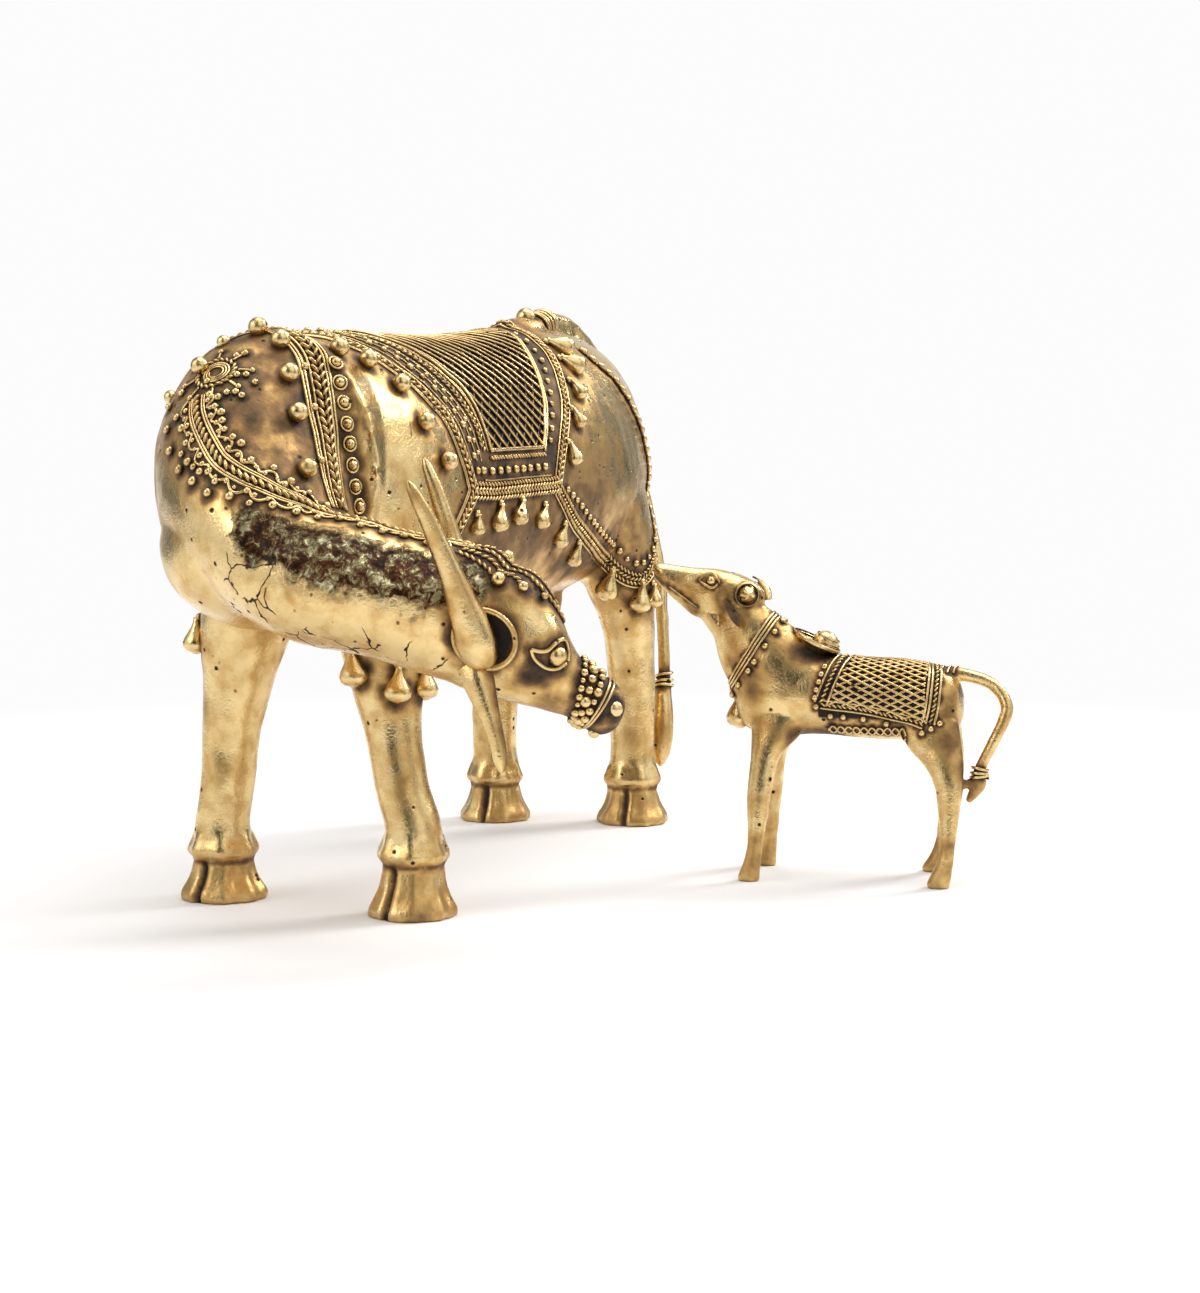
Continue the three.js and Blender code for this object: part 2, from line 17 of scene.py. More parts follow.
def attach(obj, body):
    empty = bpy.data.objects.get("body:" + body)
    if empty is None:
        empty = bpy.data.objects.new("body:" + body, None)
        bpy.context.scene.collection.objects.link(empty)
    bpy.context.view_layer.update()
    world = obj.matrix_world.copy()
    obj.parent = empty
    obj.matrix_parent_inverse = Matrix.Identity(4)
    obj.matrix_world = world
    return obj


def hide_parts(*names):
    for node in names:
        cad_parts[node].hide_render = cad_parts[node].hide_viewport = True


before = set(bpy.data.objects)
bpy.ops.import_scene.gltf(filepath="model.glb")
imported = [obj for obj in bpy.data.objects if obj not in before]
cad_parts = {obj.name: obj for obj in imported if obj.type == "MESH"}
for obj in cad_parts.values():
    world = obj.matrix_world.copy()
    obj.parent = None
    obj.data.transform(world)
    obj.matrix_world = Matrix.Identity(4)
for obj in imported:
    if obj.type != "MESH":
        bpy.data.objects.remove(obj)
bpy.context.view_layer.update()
bpy.ops.object.select_all(action="DESELECT")

# The middle of the pair's footprint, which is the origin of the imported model.
MIDDLE = np.array([80.74, -80.73, 0.0])
UP = np.array([0.0, 0.0, 1.0])


def unit(vectors):
    return vectors / np.maximum(np.linalg.norm(vectors, axis=-1, keepdims=True), 1e-9)


def between(rows, u):
    """A smooth value between rows of numbers: Catmull-Rom, one row for each whole u."""
    rows = np.asarray(rows, float)
    u = np.atleast_1d(np.asarray(u, float))
    i = np.clip(np.floor(u).astype(int), 0, len(rows) - 2)
    t = (u - i)[:, None]
    a, b, c, d = [rows[np.clip(i + k, 0, len(rows) - 1)] for k in (-1, 0, 1, 2)]
    start, end = (c - a) / 2, (d - b) / 2
    bend = 2 * (b - c) + start + end
    return b + t * (start + t * (c - b - start - bend + t * bend))


# Meshes are kept as (points, faces) in millimetres until they are made into an object.

def join(parts):
    points, faces, count = [], [], 0
    for part_points, part_faces in parts:
        points.append(np.asarray(part_points, float))
        faces += [tuple(int(k) + count for k in face) for face in part_faces]
        count += len(part_points)
    return np.concatenate(points), faces


def skin_rings(rings):
    """Faces for rings of the same number of points, closed at both ends."""
    count, sides = rings.shape[:2]
    points = np.concatenate([rings.reshape(-1, 3), rings[0].mean(0)[None], rings[-1].mean(0)[None]])
    faces = []
    for k in range(count - 1):
        for s in range(sides):
            p, q = k * sides + s, k * sides + (s + 1) % sides
            faces.append((p, q, q + sides, p + sides))
    for s in range(sides):
        following = (s + 1) % sides
        faces.append((count * sides, following, s))
        faces.append((count * sides + 1, (count - 1) * sides + s, (count - 1) * sides + following))
    return points, faces


def limb(stations, sides=40, steps=5, up=UP, pear=0.0):
    """A rounded limb through stations [x, y, z, half width, half height].

    Every section holds the up line, and a pear is wider below it.
    """
    count = (len(stations) - 1) * steps + 1
    rows = between(stations, np.arange(count) / steps)
    centres = rows[:, :3]
    following = centres[np.minimum(np.arange(count) + 1, count - 1)]
    along = unit(following - centres[np.maximum(np.arange(count) - 1, 0)])
    up = np.asarray(up, float)
    across = unit(np.cross(up, along))
    angle = 2 * np.pi * np.arange(sides) / sides
    wide = rows[:, 3, None] * np.cos(angle) * (1 - pear * np.sin(angle))
    high = rows[:, 4, None] * np.sin(angle)
    rings = centres[:, None] + across[:, None] * wide[..., None] + up * high[..., None]
    return skin_rings(rings)


def egg(centre, radii, sides=40, rows=24):
    """A closed round body with its poles up and down."""
    turn = 2 * np.pi * np.arange(sides) / sides
    lift = np.pi * (np.arange(rows) + 0.5) / rows
    rings = np.stack([
        np.sin(lift)[:, None] * np.cos(turn),
        np.sin(lift)[:, None] * np.sin(turn),
        -np.cos(lift)[:, None] * np.ones(sides),
    ], -1)
    return skin_rings(np.asarray(centre, float) + rings * np.asarray(radii, float))


def placed(part, matrix):
    points, faces = part
    return points @ matrix[:3, :3].T + matrix[:3, 3], faces


def place(origin, forward, left):
    """The place of a head or an animal, from its own axes (forward, left, up)."""
    x = unit(np.asarray(forward, float))
    z = unit(np.cross(x, left))
    matrix = np.eye(4)
    matrix[:3, 0], matrix[:3, 1], matrix[:3, 2], matrix[:3, 3] = x, np.cross(z, x), z, origin
    return matrix


def new_object(name, part):
    """An object with its place in its mesh, in metres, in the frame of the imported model."""
    points, faces = part
    mesh = bpy.data.meshes.new(name)
    mesh.from_pydata(((points - MIDDLE) / 1000).tolist(), [], faces)
    mesh.update()
    piece = bpy.data.objects.new(name, mesh)
    bpy.context.scene.collection.objects.link(piece)
    return piece


def chosen(piece):
    bpy.ops.object.select_all(action="DESELECT")
    piece.select_set(True)
    bpy.context.view_layer.objects.active = piece


def finished_modifier(piece, kind, **settings):
    """Adds a modifier to the piece and applies it."""
    chosen(piece)
    modifier = piece.modifiers.new(kind.title(), kind)
    for name, value in settings.items():
        setattr(modifier, name, value)
    bpy.ops.object.modifier_apply(modifier=modifier.name)


# THE COW'S BODY
AHEAD = (-1, 0, 0)
LEFT = (0, -1, 0)
TRUNK = [
    [-40, 0, 150, 10, 16], [-33, 0, 150, 27, 36], [-14, 0, 149, 38, 48], [10, 0, 148, 42, 51],
    [50, 0, 147, 43, 53], [100, 0, 149, 43, 54], [150, 0, 153, 43, 56], [190, 0, 156, 41, 54],
    [215, 0, 157, 35, 49], [232, 0, 157, 26, 39], [242, 0, 156, 15, 24], [246, 0, 155, 5, 8],
]
NECK = [
    [6, 0, 150, 36, 46], [-18, 0, 151, 37, 46], [-36, -2, 149.5, 36.5, 46], [-52, -14, 140, 30, 37],
    [-60, -34, 119, 25, 22.8], [-56, -52, 114, 21, 21], [-48, -68, 108.6, 19.5, 21.6],
    [-40, -82, 105, 17, 22.6], [-37, -87, 107, 13.5, 20], [-35, -92, 107.5, 8, 15.4],
]
# A leg flares into a collar, and the hoof spreads below it.
# Each foot: x, y, height of its collar, turn of its cleft.
HOOF_RADIUS = 15.4
# Skin within this reach of a leg's line belongs to its foot; half the width and the depth of a cleft.
FOOT_REACH = 24
CLEFT_WIDTH, CLEFT_DEPTH = 1.3, 2.6
FEET = {
    "front right": (-3.8, 37.2, 17.5, 8),
    "front left": (-4.6, -39.4, 21, 14),
    "hind right": (196, 28.6, 19, -4),
    "hind left": (211, -30.2, 19, -6),
}
COW_LEGS = {
    "front right": [
        [2, 24, 118, 17, 22], [-1, 28.5, 96, 15.5, 17.5], [-2, 31.4, 78, 12.2, 13], [-3, 33.6, 62, 10.2, 11],
        [-3.5, 35.4, 42, 9.4, 10],
    ],
    "front left": [
        [5, -22, 118, 17, 22], [2, -24.5, 98, 15.5, 17.5], [0, -27.5, 80, 12.6, 14], [-2, -31, 62, 9.8, 10.4],
        [-4, -35.6, 42, 9, 9.6],
    ],
    "hind right": [
        [174, 17, 158, 20, 30], [181, 22, 132, 19, 29], [189, 26.5, 108, 15, 22], [194, 28.9, 84, 10.8, 13.4],
        [197, 29, 58, 9.8, 10.4], [196, 29, 34, 9.6, 10],
    ],
    "hind left": [
        [189, -17, 158, 20, 30], [196, -22, 132, 19, 29], [204, -26.5, 108, 15, 22],
        [208, -29.4, 84, 10.8, 13.4], [211, -29.8, 58, 9.8, 10.4], [211, -30, 34, 9.6, 10],
    ],
}
TAIL = [
    [146, 0, 203, 8, 5], [160, 0, 206, 8, 7], [170, 0, 209, 6.5, 7.5], [178, 0, 211, 5.4, 6],
    [185, 0, 212.6, 5.4, 5.6], [187, 0, 213, 4.4, 4.4], [196, -1, 213.8, 4.3, 4.3], [206, -2, 212, 4.2, 4.2],
    [218, -4, 206, 4, 4], [229, -6, 196, 3.8, 3.8], [238, -9, 181, 3.6, 3.6], [243, -15, 160, 3.4, 3.4],
    [243, -23, 136, 3.2, 3.2], [240, -30, 110, 3, 3], [237, -33.5, 84, 2.9, 2.9], [234, -35.5, 62, 3, 3],
    [231, -36, 52, 4.4, 4.4], [228, -37, 40, 5, 5.4], [226, -37, 28, 3.6, 4], [225, -37, 23, 1, 1],
]
# Her head, in its own axes: forward along the muzzle, left, and up through the forehead.
HEAD_PLACE = place((-41.5, -86.4, 101.2), (0.4695, -0.6968, -0.5425), (0.865, 0.487, 0.123))
HEAD = [
    [-9, 0, 0.5, 8, 12], [-5, 0, 0.8, 14, 19], [1, 0, 1.2, 16, 21.4], [9.4, 0, 1.6, 15.5, 19.6],
    [18.9, 0, 0, 14, 15], [25.2, 0, -1.3, 12, 11.7], [31.4, 0, -1.5, 9.8, 9.6], [37.7, 0, -0.8, 8.6, 8.5],
    [44.6, 0, -1, 8.6, 8.7], [48.6, 0, -1.8, 7.6, 7.4], [51, 0, -2.4, 4.5, 4.2], [51.8, 0, -2.4, 1.6, 1.6],
]
HORN = [
    [3.6, 14.8, -7.8, 0.8, 0.8], [2.4, 14.9, -6.6, 4.4, 4.4], [-1.4, 15.2, -3.4, 6.4, 6.4],
    [-6, 15.9, 0.4, 6, 6], [-12, 16.8, 4.8, 4.7, 4.7], [-20, 18, 10.6, 3.6, 3.6],
    [-30.6, 19.2, 17.8, 2.8, 2.8], [-38.4, 20.4, 22.4, 1.7, 1.7], [-41, 21, 24, 0.5, 0.5],
]


def foot(x, y, rim):
    return [
        [x, y, rim + 10, 9.6, 9.6], [x, y, rim + 4, 10.8, 10.8], [x, y, rim, 12.6, 12.6],
        [x, y, rim - 1.6, 11.8, 11.8], [x, y, rim - 2.4, 10, 10], [x, y, rim * 0.45, 11.8, 11.8],
        [x, y, 3, 15, 15], [x, y, 0, HOOF_RADIUS, HOOF_RADIUS],
    ]


def cow_core():
    parts = [
        limb(TRUNK, 72, 6, pear=0.08),
        egg((-40, -4, 126), (35, 33, 27)),
        limb(NECK, 56, 8),
        placed(limb(HEAD, 40, 4), HEAD_PLACE),
        limb(TAIL, 20, 5, LEFT),
        egg((174, 0, 98), (14.4, 12, 12)),
    ]
    for name, rows in COW_LEGS.items():
        parts.append(limb(rows + foot(*FEET[name][:3]), 36, 5, AHEAD))
    return join(parts)


# THE CALF'S BODY
CALF_PLACE = place((124.5, -153.3, 0), (-0.196, 0.981, 0), (-0.981, -0.196, 0))
CALF_TRUNK = [
    [41.6, 0, 66, 3, 4], [38.8, 0, 67, 9, 11], [30, 0, 68, 13, 15.5], [12, 0, 68.5, 14.5, 15.2],
    [-6, 0, 67.1, 14.5, 14.8], [-22, 0, 66.4, 14, 14.6], [-33, 0, 65.6, 13.5, 14], [-40, 0, 65, 9, 10.5],
    [-42.5, 0, 65, 3, 4],
]
CALF_NECK = [
    [20, 0, 69, 14, 19], [29.8, 0, 78, 13, 18], [32.4, 0, 82.1, 12, 16.1], [35.4, 0, 85.7, 10.8, 15],
    [39.4, 0, 90.8, 9, 13.2], [43.6, 0, 96.8, 7.4, 9.6], [45.6, 0, 100.4, 5.6, 6],
]
CALF_THROAT = [
    [56, 0, 104, 3.6, 4], [53.3, 0, 99.7, 4.6, 4], [48.3, 0, 93.1, 6, 4], [43.9, 0, 86.4, 7, 4],
    [40, 0, 80, 8, 4],
]
CALF_HEAD = [
    [31.5, 0, 103.5, 2.5, 2.5], [34, 0, 104, 5.5, 5], [41, 0, 105, 7.6, 7.8], [49, 0, 105.5, 7.4, 9],
    [57, 0, 105.6, 5.8, 9.3], [64, 0, 108.6, 4.5, 7.1], [70, 0, 111.6, 4.2, 4.9], [73.5, 0, 114, 2.4, 2.6],
]
CALF_TAIL = [
    [-33, 0, 76.5, 3, 3], [-40, 1, 77, 2.6, 2.6], [-50.2, 2.5, 74.7, 2.4, 2.4], [-55.6, 4.5, 71.1, 2.4, 2.4],
    [-58.4, 6.5, 65.6, 2.3, 2.3], [-57.4, 8.5, 60.6, 2.2, 2.2], [-53.2, 9.6, 51.5, 2.1, 2.1],
    [-49.2, 10, 43, 2.3, 2.3], [-48.8, 10, 37.3, 2.7, 2.7], [-45, 10, 30.8, 1.2, 1.2],
]
CALF_TAIL_JOIN = [[-49, 10, 39, 1.6, 1.6], [-39, 13.4, 36, 1.8, 1.8]]
CALF_FORELEG = [
    [24, 7, 62, 6, 12], [26, 9, 54, 5.6, 9.5], [29.5, 12, 45, 4.6, 5.7], [31.2, 15, 30, 3.8, 4.6],
    [32, 16.5, 15, 3.2, 3.2], [33, 17, 7.6, 3.3, 3.5], [34.3, 17, 2, 3.8, 4.3], [34.3, 17, 0, 3.6, 4.1],
]
CALF_HINDLEG = [
    [-30, 7.5, 60, 6.5, 12], [-33, 10, 50, 5.4, 10.4], [-36, 12.5, 45, 4.9, 8], [-38.2, 14.4, 37.6, 4.3, 5.8],
    [-38.5, 15.6, 28.6, 3.6, 4.3], [-38.4, 16.6, 17.6, 3.2, 3.2], [-37.4, 17, 9, 3.2, 3.2],
    [-35.2, 17, 2, 3.8, 4.4], [-35.2, 17, 0, 3.6, 4.2],
]
# The height of the line inside its trunk from which its skin is found.
CALF_AXIS = 67
# Which leg, its side, and how far its foot is set forward.
CALF_STANCE = [(CALF_FORELEG, 1, 0), (CALF_FORELEG, -1, -1.4), (CALF_HINDLEG, 1, 0), (CALF_HINDLEG, -1, 4)]


def calf_leg(rows, side, step):
    """A leg of the tables, a little slimmer, its foot moved forward by the step and its top kept in place."""
    slim, top = 0.94, 60
    return [[x + step * max(0, 1 - z / top), side * y, z, w * slim, h * slim] for x, y, z, w, h in rows]


def calf_core():
    parts = [
        limb(CALF_TRUNK, 48, 6),
        limb(CALF_NECK, 40, 6, (-0.707, 0, 0.707)),
        limb(CALF_HEAD, 36, 6),
        limb(CALF_THROAT, 32, 6, (-0.8, 0, 0.6)),
        limb(CALF_TAIL, 16, 6, (0, 1, 0)),
        limb(CALF_TAIL_JOIN, 12, 6),
    ]
    parts += [limb(calf_leg(*stance), 24, 6, (1, 0, 0)) for stance in CALF_STANCE]
    return placed(join(parts), CALF_PLACE)


def cast_body(name, part, voxel_mm, rounds):
    """Runs the core's forms into one skin, as melted wax does."""
    piece = new_object(name, part)
    finished_modifier(piece, "REMESH", mode="VOXEL", voxel_size=voxel_mm / 1000, adaptivity=0.0)
    finished_modifier(piece, "SMOOTH", factor=0.5, iterations=rounds)
    bpy.ops.object.shade_smooth()
    return piece


def millimetres(piece):
    """The points of a finished piece, back in the cow's own frame."""
    points = np.empty(len(piece.data.vertices) * 3)
    piece.data.vertices.foreach_get("co", points)
    return points.reshape(-1, 3) * 1000 + MIDDLE


def outward(piece):
    normals = np.empty(len(piece.data.vertices) * 3)
    piece.data.vertices.foreach_get("normal", normals)
    return normals.reshape(-1, 3)


def move_points(piece, points):
    piece.data.vertices.foreach_set("co", ((points - MIDDLE) / 1000).ravel())
    piece.data.update()


def rough(points, size_mm, seed=0.0):
    """Smooth noise from -1 to 1 whose lumps are about size_mm across."""
    scaled = points / size_mm + seed
    return np.array([noise.noise(Vector(p)) for p in scaled])


def bump_at(points, centre, reach):
    """1 at a centre, falling smoothly to 0 at about twice the reach."""
    away = np.linalg.norm((points - np.asarray(centre, float)) / np.asarray(reach, float), axis=1)
    return np.exp(-away ** 2)


cow_body = cast_body("cow_body", cow_core(), 1.45, 5)
calf_body = cast_body("calf_body", calf_core(), 0.7, 4)


# The hand's marks in the wax: clefts and folds of the hooves, dents, and an uneven skin all over.
DENTS = [
    # centre, reach, depth
    ((-12.6, 31.6, 54), (5, 3.6, 7), 1.6),
    ((-7.4, 27.8, 41), (3, 3, 4), 0.9),
    ((-62, -40, 104), (8, 9, 6), 1.0),
    ((203, -42, 96), (6, 4, 6), 1.2),
]
# The same in her head's own axes: brows stand out, and the cups at the feet of the horns sink in.
HEAD_DENTS = [((15.5, -11, 11), (6, 5, 5), -2.2), ((15.5, 11, 11), (6, 5, 5), -2.2)]
HEAD_DENTS += [((-1.5, side * 16.5, -0.7), (7, 7, 7), 3.0) for side in (1, -1)]


def round_foot(points, x, y, turn):
    """Points near a leg's line, their degrees round it from the hoof's cleft, and 1 in that cleft."""
    around = np.hypot(points[:, 0] - x, points[:, 1] - y)
    heading = np.degrees(np.arctan2(points[:, 1] - y, x - points[:, 0])) - turn
    heading = (heading + 180) % 360 - 180
    return around < FOOT_REACH, heading, np.exp(-(np.radians(heading) * around / CLEFT_WIDTH) ** 2)


def shape_cow_skin():
    points, out = millimetres(cow_body), outward(cow_body)
    depth = 0.5 * rough(points, 17, 3.1) + 0.22 * rough(points, 6, 8.7)
    in_place = [((HEAD_PLACE @ (*centre, 1))[:3], reach, deep) for centre, reach, deep in HEAD_DENTS]
    for centre, reach, deep in DENTS + in_place:
        depth -= deep * bump_at(points, centre, reach)
    for x, y, rim, turn in FEET.values():
        close, heading, cleft = round_foot(points, x, y, turn)
        folds = 0.5 * np.cos(np.radians(heading) * 9 + points[:, 2] * 0.06)
        folds = folds * np.clip(np.abs(heading) / 60, 0, 1)
        fade = np.clip((rim - 2 - points[:, 2]) / 3, 0, 1)
        depth += np.where(close & (points[:, 2] < rim - 2), fade * (folds - CLEFT_DEPTH * cleft), 0)
        collar = close & (np.abs(points[:, 2] - rim - 1) < 5)
        depth += np.where(collar, 0.45 * np.sin(np.radians(heading) * 7), 0)
    flat = (points[:, 2] < 0.6) & (out[:, 2] < -0.5)
    moved = points + out * depth[:, None]
    moved[flat, 2] = points[flat, 2]
    moved[:, 2] = np.maximum(moved[:, 2], 0)
    move_points(cow_body, moved)


def shape_calf_skin():
    points, out = millimetres(calf_body), outward(calf_body)
    depth = 0.25 * rough(points, 9, 5.5) + 0.1 * rough(points, 3.5, 1.7)
    moved = points + out * depth[:, None]
    moved[:, 2] = np.maximum(moved[:, 2], 0)
    move_points(calf_body, moved)


shape_cow_skin()
shape_calf_skin()


# LAYING WAX THREADS ON THE SKIN
class Skin:
    """The outside of a finished body."""

    def __init__(self, piece):
        faces = [tuple(face.vertices) for face in piece.data.polygons]
        self.tree = BVHTree.FromPolygons(millimetres(piece).tolist(), faces)

    def hit(self, inside, away, reach):
        """Where a line aimed from outside at a point inside first meets the skin, and the way out there."""
        away = unit(np.asarray(away, float))
        start = Vector(np.asarray(inside, float) + away * reach)
        point, normal, _, _ = self.tree.ray_cast(start, Vector(-away), reach)
        if point is None:
            point, normal, _, _ = self.tree.find_nearest(start)
        return np.array(point), np.array(normal)


cow_skin, calf_skin = Skin(cow_body), Skin(calf_body)


def smoothed(values, rounds):
    """A running mean that keeps the ends."""
    for _ in range(rounds):
        inner = (values[:-2] + values[1:-1] * 2 + values[2:]) / 4
        values = np.concatenate([values[:1], inner, values[-1:]])
    return values


class Run:
    """A line on the skin: points at even steps, and the way out of the skin at each."""

    STEP = 0.5

    def __init__(self, skin, points, out, rounds):
        gaps = np.linalg.norm(np.diff(points, axis=0), axis=1)
        way = np.concatenate([[0], np.cumsum(gaps)])
        self.way = np.linspace(0, way[-1], max(3, int(way[-1] / self.STEP) + 1))
        points = np.stack([np.interp(self.way, way, points[:, k]) for k in range(3)], 1)
        out = np.stack([np.interp(self.way, way, out[:, k]) for k in range(3)], 1)
        self.skin = skin
        self.points = smoothed(points, rounds)
        self.along = unit(np.gradient(self.points, axis=0))
        self.across = unit(np.cross(self.along, smoothed(out, 12)))
        self.out = unit(np.cross(self.across, self.along))
        self.length = self.way[-1]

    def beside(self, shift, rounds=6):
        """The same line moved sideways over the skin; the shift may change along it."""
        moved = self.points + self.across * np.reshape(shift, (-1, 1))
        hits = [self.skin.hit(p - n * 5, n, 12) for p, n in zip(moved, self.out)]
        return run_through(self.skin, hits, rounds)

    def spots(self, spacing, start=0.0):
        """Even places along the line, as indices of its points."""
        count = max(1, int((self.length - start) / spacing) + 1)
        places = start + spacing * np.arange(count)
        return np.searchsorted(self.way, places[places <= self.length])


def run_through(skin, hits, rounds):
    """A run through places found on the skin, each a point and the way out there."""
    points, out = zip(*hits)
    return Run(skin, np.array(points), np.array(out), rounds)


def lay(skin, find, rows, fine=16, rounds=6):
    """A run through a table of surface coordinates, each found on the skin by `find`."""
    u = np.linspace(0, len(rows) - 1, fine * (len(rows) - 1) + 1)
    return run_through(skin, [find(*row) for row in between(rows, u)], rounds)


# FINDERS. Each aims at a body from outside, and starts near enough to miss her turned head.
AXIS_X, AXIS_Z = [row[0] for row in TRUNK], [row[2] for row in TRUNK]


def on_body(x, degrees):
    """By length and by degrees round the body: 0 on the back, + toward her left."""
    turn = math.radians(degrees)
    axis = (x, 0, np.interp(x, AXIS_X, AXIS_Z))
    return cow_skin.hit(axis, (0, -math.sin(turn), math.cos(turn)), 62 if x < 20 else 76)


def on_flank(x, z, side):
    """By length and height, straight in from one side."""
    return cow_skin.hit((x, 0, z), (0, -side, 0), 60)


def on_neck(station, degrees):
    """By station of the neck's table, and degrees round its line, 90 on top."""
    here = between(NECK, station)[0, :3]
    ends = between(NECK, [max(station - 0.5, 0), min(station + 0.5, len(NECK) - 1)])[:, :3]
    across = unit(np.cross(UP, ends[1] - ends[0]))
    turn = math.radians(degrees)
    return cow_skin.hit(here, across * math.cos(turn) + UP * math.sin(turn), 58)


def on_head(forward, degrees, reach=26):
    """By length along the muzzle and degrees round it: 90 on the forehead, 180 on her right cheek."""
    turn = math.radians(degrees)
    lift = np.interp(forward, [row[0] for row in HEAD], [row[2] for row in HEAD])
    inside = HEAD_PLACE[:3, :3] @ (forward, 0, lift) + HEAD_PLACE[:3, 3]
    return cow_skin.hit(inside, HEAD_PLACE[:3, :3] @ (0, math.cos(turn), math.sin(turn)), reach)


def on_calf(forward, degrees):
    """By length and by degrees round its body: 0 on the back, + toward the near side."""
    turn = math.radians(degrees)
    inside = CALF_PLACE[:3, :3] @ (forward, 0, CALF_AXIS) + CALF_PLACE[:3, 3]
    return calf_skin.hit(inside, CALF_PLACE[:3, :3] @ (0, math.sin(turn), math.cos(turn)), 24)


def on_calf_back(forward, side):
    """Straight down on its back."""
    inside = CALF_PLACE[:3, :3] @ (forward, side, CALF_AXIS) + CALF_PLACE[:3, 3]
    return calf_skin.hit(inside, (0, 0, 1), 22)


def on_collar(degrees):
    """Round the calf's neck, in the plane of its collar."""
    turn = math.radians(degrees)
    inside = CALF_PLACE[:3, :3] @ (36.5, 0, 82.1) + CALF_PLACE[:3, 3]
    way = (0.53 * math.sin(turn), math.cos(turn), -0.85 * math.sin(turn))
    return calf_skin.hit(inside, CALF_PLACE[:3, :3] @ way, 24)


def in_head(points):
    return np.asarray(points, float) @ HEAD_PLACE[:3, :3].T + HEAD_PLACE[:3, 3]


def in_calf(points):
    return np.asarray(points, float) @ CALF_PLACE[:3, :3].T + CALF_PLACE[:3, 3]


# THREADS. Each shape is (points, faces, patina), the patina 1 where it meets the skin and 0 on its top; this
# is brown patina in the hollow there and also painted shade, so that only the top stays bright.
def shade(height, low, high):
    """Patina and painted shade by height: 1 at the low mark and below, 0 from the high mark up."""
    return np.clip((high - height) / (high - low), 0, 1)


def tube(centres, across, out, radius, sides=6, added_shade=0.0):
    """A round thread, with patina and painted shade on its underside; the last argument paints shade over all
    of it.
    """
    angle = 2 * np.pi * np.arange(sides) / sides
    radius = np.reshape(radius, (-1, 1, 1)) if np.ndim(radius) else radius
    ring = across[:, None] * np.cos(angle)[:, None] + out[:, None] * np.sin(angle)[:, None]
    points, faces = skin_rings(centres[:, None] + radius * ring)
    # Patina and painted shade on the side toward the skin, none on the top.
    thread_patina_and_shade = np.append(np.tile(shade(np.sin(angle), -0.4, 0.9), len(centres)), [0.5, 0.5])
    return points, faces, thread_patina_and_shade + added_shade


def wire(run, radius, lift=0.4, stride=2, added_shade=0.0):
    """A plain round thread along a run."""
    pick = np.unique(np.append(np.arange(0, len(run.points), stride), len(run.points) - 1))
    centres = run.points[pick] + run.out[pick] * radius * lift
    return tube(centres, run.across[pick], run.out[pick], radius, added_shade=added_shade)


def rope(run, radius, pitch, hand=1, lift=0.3):
    """A twisted thread: slanted strands round a core."""
    pick = run.spots(pitch, pitch / 2)
    slant = hand * math.radians(37)
    along = run.along[pick] * math.cos(slant) + run.across[pick] * math.sin(slant)
    centres = run.points[pick] + run.out[pick] * radius * lift
    # Its core, seen between the strands, carries painted shade.
    return [stamped(STRAND, centres, along, run.out[pick], radius), wire(run, radius * 0.5, lift, added_shade=0.5)]


def braid(run, radius, pitch):
    """Two ropes of opposite twist side by side, which read as a row of arrowheads."""
    apart = radius * 0.93
    return rope(run.beside(-apart), radius, pitch, 1) + rope(run.beside(apart), radius, pitch, -1)


# SMALL SHAPES, each modelled once at 1 mm = 1 unit: x along, y across, z out of the skin.
def taken(piece, low, high):
    """The points and faces of a modelled shape, which is then removed, and its patina and painted shade by
    height.
    """
    points = np.array([v.co[:] for v in piece.data.vertices])
    faces = [tuple(face.vertices) for face in piece.data.polygons]
    bpy.data.objects.remove(piece)
    return points, faces, shade(points[:, 2], low, high)


def edit(piece):
    chosen(piece)
    bpy.ops.object.mode_set(mode="EDIT")


def close_edit():
    bpy.ops.mesh.select_all(action="SELECT")
    bpy.ops.mesh.remove_doubles(threshold=0.0005)
    bpy.ops.mesh.normals_make_consistent(inside=False)
    bpy.ops.object.mode_set(mode="OBJECT")


def grain_shape(stretch, base, low, high):
    """A grain of wax of radius 1, stretched along, across and upward, and cut flat at its base."""
    bpy.ops.mesh.primitive_uv_sphere_add(segments=9, ring_count=6, radius=1)
    piece = bpy.context.object
    edit(piece)
    bpy.ops.transform.resize(value=stretch)
    bpy.ops.mesh.bisect(plane_co=(0, 0, base), plane_no=(0, 0, 1), clear_inner=True, use_fill=True)
    close_edit()
    return taken(piece, low, high)


def ball_shape():
    """A larger ball of radius 1 on a short foot."""
    bpy.ops.mesh.primitive_uv_sphere_add(segments=22, ring_count=14, radius=1)
    piece = bpy.context.object
    edit(piece)
    bpy.ops.mesh.bisect(plane_co=(0, 0, -0.86), plane_no=(0, 0, 1), clear_inner=True, use_fill=True)
    bpy.ops.mesh.select_all(action="DESELECT")
    bpy.ops.object.mode_set(mode="OBJECT")
    for face in piece.data.polygons:
        face.select = face.normal.z < -0.99 and face.center.z < -0.8
    edit(piece)
    bpy.ops.mesh.extrude_region_move(TRANSFORM_OT_translate={"value": (0, 0, -0.3)})
    bpy.ops.transform.resize(value=(1.5, 1.5, 1))
    close_edit()
    return taken(piece, -0.95, -0.3)


